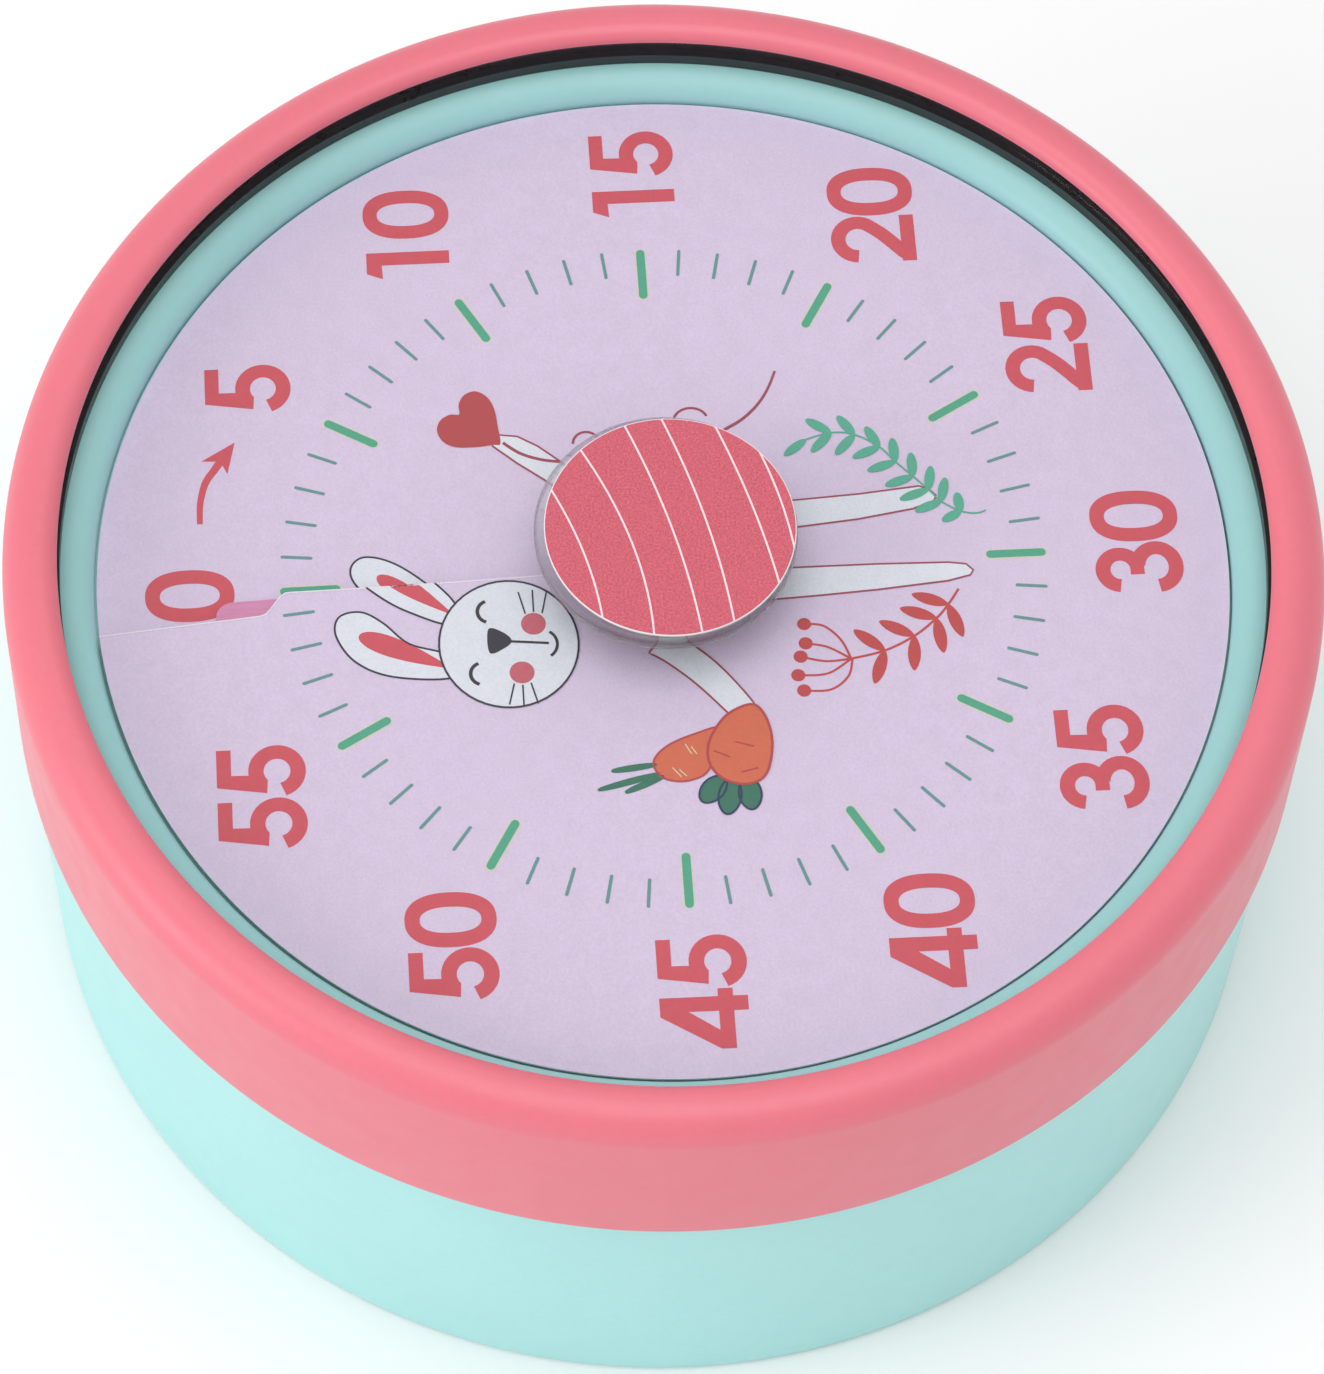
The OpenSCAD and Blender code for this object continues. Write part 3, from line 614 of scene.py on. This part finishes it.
def digit_shapes(digit):
    """(shapes, width) of a bold digit that stands on the X axis. Round ones reach a little over."""
    top, low = CAP + OVER - HALF, HALF - OVER
    if digit == "0":
        outer = oblong(1.78, CAP / 2, 1.78, CAP / 2 + OVER)
        inner = oblong(1.78, CAP / 2, 0.85, CAP / 2 + OVER - 0.88)
        corners = zip(outer, outer[1:] + outer[:1], inner[1:] + inner[:1], inner)
        return [list(quad) for quad in corners], 3.56
    if digit == "1":
        return [[(1.0, 0), (1.92, 0), (1.92, CAP), (1.0, CAP)],
                [(0, CAP - 0.97), (1.02, CAP - 0.93), (1.02, CAP), (0.4, CAP)]], 1.92
    if digit == "2":
        bowl = arc(1.7, 3.55, 1.25, top - 3.55, 178, -28, 18)
        neck = smooth_line([bowl[-1], (2.0, 2.0), (0.62, 0.75)])
        return (band(bowl + neck[1:], STROKE)
                + [[(0, 0), (3.4, 0), (3.4, 0.88), (0, 0.88)], oval(0.6, 0.72, HALF, HALF)]), 3.4
    if digit == "3":
        upper = arc(1.55, 3.72, 1.1, top - 3.72, 176, -80, 20)
        lower = arc(1.68, 1.5, 1.32, 1.5 - low, 82, -178, 24)
        middle = [(1.2, 2.28), (1.95, 2.28), (1.95, 3.12), (1.2, 3.12)]
        return band(upper, STROKE) + band(lower, STROKE) + [middle], 3.45
    if digit == "4":
        return [[(2.42, 0), (3.35, 0), (3.35, CAP), (2.42, CAP)],
                [(0, 0.85), (3.85, 0.85), (3.85, 1.72), (0, 1.72)],
                [(0, 1.3), (0.9, 1.3), (2.5, 3.6), (2.5, CAP), (2.15, CAP), (0, 1.7)]], 3.85
    bowl = arc(1.7, 1.58, 1.27, 1.58 - low, 128, -164, 26)
    return (band(bowl, STROKE)
            + [[(0.72, CAP - 0.85), (3.2, CAP - 0.85), (3.2, CAP), (0.72, CAP)],
               [(0.72, CAP), (0.26, 2.2), (1.14, 2.14), (1.46, 3.05), (1.5, CAP)]]), 3.42


def number_shapes(text, x, y):
    """A number centred on x, y, upright as seen with the 0 mark up."""
    found, at, end = [], 0.0, 0.0
    for digit in text:
        shapes, width = digit_shapes(digit)
        found += [[(px + at, py) for px, py in shape] for shape in shapes]
        end = at + width
        at = end + WIDE_GAPS.get(digit, GAP)
    return [[(px - end / 2 + x, py - CAP / 2 + y) for px, py in shape] for shape in found]


# Each number and the middle of its place on the dial.
NUMBERS = [("0", -0.26, 28.43), ("5", 14.13, 24.6), ("10", 24.95, 14.39), ("15", 28.74, 0.17),
           ("20", 24.93, -14.56), ("25", 14.83, -24.5), ("30", 0.5, -28.58), ("35", -14.2, -24.97),
           ("40", -25.2, -13.95), ("45", -28.5, -0.4), ("50", -24.87, 13.9), ("55", -14.6, 24.58)]
TICK_OUTER = 23.04
MINUTE_INNER = 21.12
MINUTE_WIDTH = 0.2
FIVE_INNER = 19.43
FIVE_WIDTH = 0.52
FIVE_HALO = 0.14
EARLY = 0.58


def tick(minute, inner, width, grow=0.0):
    """A round-ended tick. The first ones are printed a hair early, as the card dips at its slit."""
    half = width / 2
    angle = minute * 6 - EARLY * min(max((5 - minute) / 4, 0.0), 1.0)
    ends = [at_time(inner + half, angle), at_time(TICK_OUTER - half, angle)]
    round_r = half + grow / 2
    return band(ends, width + grow) + [oval(x, y, round_r, round_r, steps=20) for x, y in ends]


# ---------------------------------------------------------------- the shells

case_outline = (
    [(COVER_POCKET_R, CASE_LOW)]
    + arc(CASE_FOOT_R - FOOT_ROUND, FOOT_ROUND, FOOT_ROUND, FOOT_ROUND, -90, 0)
    + [(CASE_TOP_R, NECK_Z), (NECK_R, NECK_Z), (NECK_R, CASE_HIGH)]
    + arc(RING_INNER_R + RING_W, RING_LOW_Z, RING_W, CASE_HIGH - RING_LOW_Z, 90, 180, 20)
    + [(RING_INNER_R, DIAL_SEAT_Z), (DISC_RECESS_R, DIAL_SEAT_Z), (DISC_RECESS_R, DISC_RECESS_Z),
       (DECK_HOLE_R, DISC_RECESS_Z), (DECK_HOLE_R, DECK_BOTTOM),
       (NECK_BORE_R, DECK_BOTTOM), (NECK_BORE_R, NECK_Z - 1),
       (WALL_BORE_R, NECK_Z - 3), (WALL_BORE_R, COVER_POCKET_Z),
       (COVER_POCKET_R, COVER_POCKET_Z)]
)
belongs(revolve("case_shell", case_outline, mint), "housing", "case_plastic", "case")

bezel_outline = (
    [(BEZEL_BORE_R, BEZEL_LOW + 0.3)]
    + arc(BEZEL_R - BEZEL_FOOT_ROUND, BEZEL_LOW + BEZEL_FOOT_ROUND, BEZEL_FOOT_ROUND, BEZEL_FOOT_ROUND,
          -90, 0, 8)
    + arc(BEZEL_R - BEZEL_ROUND[0], BEZEL_HIGH - BEZEL_ROUND[1], *BEZEL_ROUND, 0, 90, 28)
    + arc(WINDOW_R + LIP_ROUND[0], BEZEL_HIGH - LIP_ROUND[1], *LIP_ROUND, 90, 180, 18)
    + [(WINDOW_R, LIP_Z), (BEZEL_BORE_R, LIP_Z)]
)
belongs(revolve("bezel_ring", bezel_outline, coral), "housing", "bezel_plastic", "bezel")

lens_outline = [
    (LENS_HOLE_R, LENS_LOW + LENS_EDGE), (LENS_HOLE_R + LENS_EDGE, LENS_LOW),
    (LENS_R - LENS_EDGE, LENS_LOW), (LENS_R, LENS_LOW + LENS_EDGE),
    (LENS_R, LENS_HIGH - LENS_EDGE), (LENS_R - LENS_EDGE, LENS_HIGH),
    (LENS_HOLE_R + LENS_EDGE, LENS_HIGH), (LENS_HOLE_R, LENS_HIGH - LENS_EDGE)
]
belongs(revolve("lens_window", lens_outline, lens_clear), "housing", "clear_lens", "lens")

gasket_outline = [
    (WINDOW_R - 0.05, GASKET_LOW), (GASKET_R, GASKET_LOW), (GASKET_R, GASKET_HIGH),
    (SEAL_R, GASKET_HIGH), (SEAL_R, SEAL_Z), (WINDOW_R - 0.05, SEAL_Z)
]
belongs(revolve("gasket_ring", gasket_outline, rubber), "housing", "gasket_rubber", "lens_gasket")


# ---------------------------------------------------------------- dial and disc

card = climbing_sheet("printed_card", radii(CARD_HOLE_R, CARD_R, FLAP_STEP), CARD_START, flap_edge,
                      CARD_Z, lilac, paper)
belongs(card, "housing", "printed_paper", "dial_card")
disc = climbing_sheet("pink_disc", radii(DISC_HOLE_R, DISC_R, (DISC_R - DISC_CORNER, DISC_R)),
                      DISC_EDGE - DISC_SPAN, disc_edge, DISC_Z, film, film)
belongs(disc, "colour_disc", "disc_film", "time_disc")

card_ink("dial_numerals", [s for n in NUMBERS for s in number_shapes(*n)], numeral_ink, 1)
minutes = [m for m in range(60) if m % 5]
fives = range(0, 60, 5)
minute_ticks = [s for m in minutes for s in tick(m, MINUTE_INNER, MINUTE_WIDTH)]
five_ticks = [s for m in fives for s in tick(m, FIVE_INNER, FIVE_WIDTH)]
five_edges = [s for m in fives for s in tick(m, FIVE_INNER, FIVE_WIDTH, FIVE_HALO)]
card_ink("minute_ticks", minute_ticks, thin_tick_ink, 1)
card_ink("five_minute_ticks", five_ticks, tick_ink, 1)
card_ink("tick_edges", five_edges, halo_ink, 0)
arrow_line = smooth_line([(4.7, 27.7), (6.15, 27.64), (7.55, 27.3), (8.5, 26.7), (9.1, 26.3)])
arrow_head = [(10.35, 25.45), (8.15, 25.95), (9.05, 26.35), (9.1, 27.5)]
card_ink("direction_arrow", band(arrow_line, (0.34, 0.52)) + [arrow_head], numeral_ink, 1)
flap_rim = [(x - 0.055, y) for x, y in slit_line()]
card_ink("flap_rim", band(flap_rim, 0.09), cut_edge, 2)


# ---------------------------------------------------------------- the picture on the dial

LINE = 0.12
face = oval(-5.0, 9.58, 4.3, 4.15)
ear_one = smooth_loop([(-2.2, 12.6), (-0.2, 14.2), (1.4, 16.2), (1.9, 17.9), (1.2, 18.75), (0.0, 18.5),
                       (-1.5, 17.0), (-2.6, 15.3), (-3.5, 13.0)])
ear_two = smooth_loop([(-5.6, 13.2), (-4.7, 15.5), (-3.2, 17.0), (-2.4, 18.3), (-2.7, 19.6), (-4.0, 19.8),
                       (-5.8, 18.7), (-6.9, 16.5), (-7.1, 13.0)])
inner_one = drop((-3.0, 12.6), (0.55, 17.2), 1.15)
inner_two = drop((-6.6, 12.8), (-4.0, 18.45), 1.35)
heart_arm = [(5.0, 3.6), (8.0, 5.8), (9.15, 7.1), (9.9, 8.3), (10.1, 9.6), (9.3, 9.84), (8.0, 8.4),
             (6.65, 6.7), (4.6, 4.6)]
under_arm = smooth_line([(-5.95, 1.3), (-6.37, 0.62), (-7.06, -0.23), (-7.88, -1.11), (-8.74, -1.9),
                         (-9.49, -2.53), (-10.3, -3.2)], 3)
over_arm = smooth_line([(-9.64, -4.73), (-9.19, -4.46), (-8.44, -3.96), (-7.38, -3.19), (-6.46, -2.4),
                        (-5.69, -1.6), (-5.28, -1.12)], 3)
carrot_arm = [(-3.5, 0.7), (-5.22, 0.71), *under_arm, (-10.6, -4.1), *over_arm, (-3.5, -0.6)]
leg_one = [(2.2, -5.0), (2.53, -8.54), (2.87, -11.95), (3.43, -15.3), (3.95, -16.63), (4.3, -16.77),
           (4.74, -16.4), (5.02, -15.8), (4.64, -12.1), (4.42, -8.42), (4.3, -5.0)]
leg_two = [(-0.3, -5.0), (-0.35, -7.8), (-0.35, -12.84), (-0.44, -17.1), (-0.6, -18.15),
           (-1.05, -18.56), (-1.39, -18.35), (-1.73, -16.98), (-2.14, -12.7), (-2.38, -9.14),
           (-2.6, -5.0)]
limbs = [heart_arm, carrot_arm, leg_one, leg_two]
card_ink("rabbit_body", [ear_one, ear_two, *limbs], white_ink, 1)
card_ink("rabbit_outlines", [q for s in (ear_one, ear_two) for q in band(s, LINE, True)], dark_ink, 2)
thumb = smooth_line([(9.5, 9.2), (8.7, 8.2), (8.2, 7.0), (7.96, 5.8)])
limb_lines = [q for s in limbs for q in band(s, LINE, True)] + band(thumb, 0.2)
card_ink("limb_outlines", limb_lines, line_ink, 2)
card_ink("rabbit_ears", [inner_one, inner_two], numeral_ink, 2)
card_ink("rabbit_face", [face], white_ink, 3)
nose = smooth_loop([(-5.55, 10.75), (-3.95, 10.75), (-4.2, 9.9), (-4.8, 9.4), (-5.3, 9.9)])
features = (
    [nose]
    + band(face, LINE, True)
    + band([(-4.82, 9.6), (-5.05, 7.2)], LINE * 1.3)
    + band(arc(-5.1, 7.7, 1.0, 1.0, 215, 325), LINE * 1.5)
    + band(arc(-2.75, 10.6, 0.75, 0.75, 20, 160), LINE * 1.8)
    + band(arc(-6.95, 11.2, 0.75, 0.75, 20, 160), LINE * 1.8)
)
for x, y, run in ((-3.0, 8.5, 0.35), (-2.9, 8.0, 0.0), (-3.0, 7.5, -0.35)):
    features += band([(x, y), (x + 1.5, y + run)], LINE * 0.8)
for x, y, run in ((-7.7, 9.4, 0.35), (-7.8, 8.9, 0.0), (-7.7, 8.4, -0.35)):
    features += band([(x, y), (x - 1.4, y + run)], LINE * 0.8)
card_ink("rabbit_cheeks", [oval(-3.7, 8.05, 0.74, 0.74), oval(-6.97, 8.9, 0.74, 0.74)], cheek_ink, 4)
card_ink("rabbit_features", features, dark_ink, 5)

heart = smooth_loop([(9.45, 9.35), (10.7, 9.45), (11.9, 9.6), (12.8, 10.0), (13.25, 10.7), (13.0, 11.4),
                     (12.35, 11.75), (11.66, 11.75), (11.66, 12.3), (11.3, 12.9), (10.6, 13.15),
                     (9.8, 12.85), (9.35, 12.1), (9.28, 10.9), (9.38, 9.8)])
card_ink("heart", [heart], heart_ink, 3)
tail = smooth_line([(9.1, -3.5), (9.72, -4.4), (10.22, -5.23), (10.83, -5.96), (11.61, -6.63),
                    (12.57, -7.2), (13.74, -7.69)])
curls = (band(tail, (0.22, 0.15)) + band(arc(10.4, -2.3, 0.95, 1.05, -70, 80), 0.16)
         + band(arc(9.2, 4.15, 0.8, 0.8, -70, 90), 0.16))
card_ink("curled_lines", curls, line_ink, 1)

front_carrot = smooth_loop([(-9.7, -4.6), (-10.5, -5.3), (-12.0, -5.6), (-13.6, -5.4), (-14.65, -4.9),
                            (-15.05, -3.9), (-14.7, -2.65), (-13.7, -1.85), (-12.4, -1.8), (-11.2, -2.35),
                            (-10.2, -3.25)])
back_carrot = smooth_loop([(-13.55, 1.5), (-12.8, 1.2), (-12.1, 0.3), (-11.5, -1.2), (-11.2, -2.5),
                           (-12.45, -2.4), (-13.7, -1.9), (-14.4, -1.3), (-14.7, -0.1), (-14.4, 1.0)])
card_ink("back_carrot", [back_carrot], carrot_ink, 2)
card_ink("front_carrot", [front_carrot], carrot_ink, 4)
grooves = [((-12.18, -3.4), (-12.55, -4.5)), ((-12.75, -2.1), (-13.2, -3.05)),
           ((-14.25, -3.65), (-14.0, -4.65))]
groove_lines = [q for line in grooves for q in band(line, 0.1)]
card_ink("front_carrot_lines", groove_lines + band(front_carrot, LINE * 1.3, True), heart_ink, 5)
card_ink("back_carrot_lines", band(back_carrot, LINE, True), heart_ink, 3)
glints = [((-12.2, -0.45), (-12.9, -0.8)), ((-12.4, -0.8), (-12.9, -1.1)), ((-13.75, 0.4), (-14.4, -0.1)),
          ((-13.9, 0.0), (-14.35, -0.4))]
card_ink("back_carrot_glints", [q for line in glints for q in band(line, 0.06)], halo_ink, 3)
strokes = [leaf(base, tip, 0.44, blunt=0.3) for base, tip in (
    ((-13.5, 1.3), (-13.83, 4.03)), ((-14.1, 1.1), (-15.06, 4.9)), ((-14.3, 0.9), (-15.3, 3.3)))]
lobes = [leaf(base, tip, 1.35, blunt=0.5) for base, tip in (
    ((-14.5, -2.6), (-16.1, -1.2)), ((-14.6, -4.0), (-16.75, -4.1)), ((-14.6, -3.1), (-17.0, -2.6)))]
card_ink("carrot_leaves", strokes + lobes, carrot_leaf_ink, 2)
card_ink("carrot_leaf_edges", [q for shape in lobes for q in band(shape, 0.13, True)], navy_ink, 3)

# Each pair of leaves on the two sprigs: their joint on the stem and their two tips.
GREEN_PAIRS = [
    ((9.1, -10.76), (10.13, -9.31), (7.77, -9.48)), ((8.89, -12.18), (10.28, -11.25), (7.5, -10.93)),
    ((7.93, -13.63), (9.41, -12.9), (7.24, -11.95)), ((6.83, -14.52), (8.52, -14.45), (6.25, -12.77)),
    ((5.73, -15.5), (7.41, -15.5), (5.14, -13.75)), ((4.74, -16.35), (6.4, -16.64), (4.1, -14.56)),
    ((3.87, -17.04), (5.52, -17.45), (3.22, -15.41)), ((3.12, -18.17), (4.44, -18.04), (2.47, -17.0))
]
green_joints = [joint for joint, _, _ in GREEN_PAIRS]
green_stem = smooth_line([(8.69, -9.2)] + green_joints + [(2.93, -19.1), (3.1, -19.7)])
green_leaves = [leaf(joint, tip, 0.62, blunt=0.45) for joint, *tips in GREEN_PAIRS for tip in tips]
green_leaves.append(leaf((8.69, -9.2), (7.6, -7.8), 0.6, blunt=0.5))
card_ink("green_sprig", band(green_stem, 0.1) + green_leaves, leaf_ink, 4)
RED_PAIRS = [
    ((-3.37, -16.84), (-2.55, -14.7), (-5.65, -17.52)), ((-4.29, -16.05), (-3.49, -13.91), (-6.7, -16.28)),
    ((-5.45, -14.62), (-4.33, -12.6), (-7.83, -14.42)), ((-6.37, -12.78), (-4.86, -11.02), (-8.62, -11.98))
]
red_stem = smooth_line([(-2.32, -17.55)] + [joint for joint, _, _ in RED_PAIRS] + [(-6.84, -10.72)])
red_leaves = [leaf(joint, tip, 0.78, blunt=0.6) for joint, *tips in RED_PAIRS for tip in tips]
berry_stems = [
    [(-4.32, -8.1), (-4.49, -9.23), (-5.5, -10.21), (-6.84, -10.72)],
    [(-5.66, -8.09), (-5.97, -9.38), (-6.84, -10.72)],
    [(-6.56, -7.72), (-6.94, -9.22), (-6.84, -10.72)],
    [(-7.83, -7.48), (-7.79, -9.24), (-6.84, -10.72)],
    [(-8.89, -7.75), (-8.9, -9.33), (-8.04, -10.45), (-6.84, -10.8)]
]
berries = [oval(*stem[0], 0.42, 0.42, steps=24) for stem in berry_stems]
berry_lines = [q for stem in berry_stems for q in band(smooth_line(stem), 0.14)]
card_ink("berry_sprig", band(red_stem, 0.15) + red_leaves + berries + berry_lines, berry_ink, 1)


# ---------------------------------------------------------------- knob and label

knob_outline = (
    [(KNOB_BORE_R, KNOB_LOW), (KNOB_STEM_R, KNOB_LOW), (KNOB_STEM_R, KNOB_PLATE_Z)]
    + arc(KNOB_R - KNOB_FOOT_ROUND, KNOB_PLATE_Z + KNOB_FOOT_ROUND, KNOB_FOOT_ROUND, KNOB_FOOT_ROUND,
          -90, 0, 8)
    + arc(KNOB_R - KNOB_ROUND, KNOB_HIGH - KNOB_ROUND, KNOB_ROUND, KNOB_ROUND, 0, 90, 8)
    + [(0, KNOB_HIGH), (0, KNOB_BORE_Z), (KNOB_BORE_R, KNOB_BORE_Z)]
)
belongs(revolve("knob_clear", knob_outline, knob_clear), "winding_knob", "clear_plastic", "knob")
label_outline = [
    (0, LABEL_LOW), (LABEL_R - LABEL_EDGE, LABEL_LOW), (LABEL_R, LABEL_LOW + LABEL_EDGE),
    (LABEL_R, LABEL_PRINT_Z - LABEL_EDGE), (LABEL_R - LABEL_EDGE, LABEL_PRINT_Z), (0, LABEL_PRINT_Z)
]
belongs(revolve("label_paper", label_outline, paper, LABEL_Y), "winding_knob", "label_print",
        "knob_label")
print_edge = oval(0, LABEL_Y, LABEL_R - LABEL_MARGIN, LABEL_R - LABEL_MARGIN, steps=160)
label_face = ink("label_ground", [print_edge], label_ink, 0, on_card=False)
belongs(label_face, "winding_knob", "label_print")

STRIPE_W = 0.12
STRIPE_REACH = 9
# Each stripe's place across the label, its lean and its bend.
STRIPES = [(-6.02, 0.51, 0.0237), (-2.77, 0.455, 0.0225), (0.05, 0.378, 0.011), (2.28, 0.345, 0.0105),
           (5.44, 0.36, 0.01), (7.14, 0.262, 0.0203)]


def label_point(u, v):
    """A point on the label from its place across and up the label, as the camera sees it."""
    a = math.radians(VIEW_TURN)
    right = (-math.sin(a), math.cos(a))
    up = (-math.cos(a), -math.sin(a))
    return u * right[0] + v * up[0], u * right[1] + v * up[1] + LABEL_Y


stripes = []
heights = [STRIPE_REACH * (i / 12 - 1) for i in range(25)]
for start, lean, bend in STRIPES:
    stripes += band([label_point(start - lean * v - bend * v * v, v) for v in heights], STRIPE_W)
label_stripes = ink("label_stripes", stripes, stripe_ink, 1, on_card=False, clip=print_edge)
belongs(label_stripes, "winding_knob", "label_print")


# ---------------------------------------------------------------- the CAD nodes that stay

FINISHES = {
    "case_plastic": mint, "white_plastic": acetal, "brass": brass, "steel": steel,
    "dark_steel": dark_steel, "nickel": nickel
}
for part in frame["record"]["subparts"]:
    node = frame["nodes"][part["node"]]
    if not node.hide_render:
        node.data.materials.clear()
        node.data.materials.append(FINISHES[part["material_slot"]])


# ---------------------------------------------------------------- floor, light and camera

FLOOR_HALF = 1.6
WORLD_STRENGTH = 0.6
LIGHT_AIM = Vector((0, 0, 0.02))


def add_floor():
    h = FLOOR_HALF
    mesh = bpy.data.meshes.new("floor")
    mesh.from_pydata([(-h, -h, 0), (h, -h, 0), (h, h, 0), (-h, h, 0)], [], [(0, 1, 2, 3)])
    mesh.materials.append(surface("floor_white", (252, 252, 252), 0.9, tones=((60.0, 0.004),), bumps=()))
    floor = bpy.data.objects.new("floor", mesh)
    bpy.context.scene.collection.objects.link(floor)


def add_light(name, place, power, size):
    """A round soft light, in metres and watts, that faces the timer."""
    lamp = bpy.data.lights.new(name, "AREA")
    lamp.energy = power
    lamp.shape = "DISK"
    lamp.size = size
    piece = bpy.data.objects.new(name, lamp)
    bpy.context.scene.collection.objects.link(piece)
    piece.location = place
    piece.rotation_euler = (LIGHT_AIM - Vector(place)).to_track_quat("-Z", "Y").to_euler()


def light_studio():
    world = bpy.data.worlds.new("studio")
    world.use_nodes = True
    background = world.node_tree.nodes["Background"]
    background.inputs["Color"].default_value = (1, 1, 1, 1)
    background.inputs["Strength"].default_value = WORLD_STRENGTH
    bpy.context.scene.world = world
    add_light("top", (-0.1, 0.05, 1.0), 4.3, 0.9)
    add_light("side", (-0.22, 0.75, 0.32), 2.0, 0.5)
    bpy.context.scene.view_settings.view_transform = "Standard"


def set_camera():
    """The camera stands at the view's turn, rise and distance from the dial, and is then panned,
    tilted and rolled a little."""
    turn, rise = math.radians(VIEW_TURN), math.radians(VIEW_RISE)
    pan, tilt, roll = (math.radians(v) for v in (VIEW_PAN, VIEW_TILT, VIEW_ROLL))
    back = Vector((math.cos(rise) * math.cos(turn), math.cos(rise) * math.sin(turn), math.sin(rise)))
    forward = -back
    right = forward.cross(Vector((0, 0, 1))).normalized()
    up = right.cross(forward)
    aim = (forward + right * math.tan(pan) + up * math.tan(tilt)).normalized()
    across = aim.cross(up).normalized()
    over = across.cross(aim)
    x_axis = across * math.cos(roll) + over * math.sin(roll)
    y_axis = over * math.cos(roll) - across * math.sin(roll)
    data = bpy.data.cameras.new("camera")
    data.sensor_fit = "VERTICAL"
    data.sensor_width = 36
    data.sensor_height = 36
    data.lens = VIEW_LENS
    data.clip_start = 0.01
    data.clip_end = 20
    camera = bpy.data.objects.new("camera", data)
    bpy.context.scene.collection.objects.link(camera)
    place = Vector((0, 0, VIEW_TARGET_Z)) + back * VIEW_DISTANCE
    turned = Matrix((x_axis, y_axis, -aim)).transposed().to_4x4()
    camera.matrix_world = Matrix.Translation(place) @ turned
    bpy.context.scene.camera = camera


add_floor()
light_studio()
set_camera()
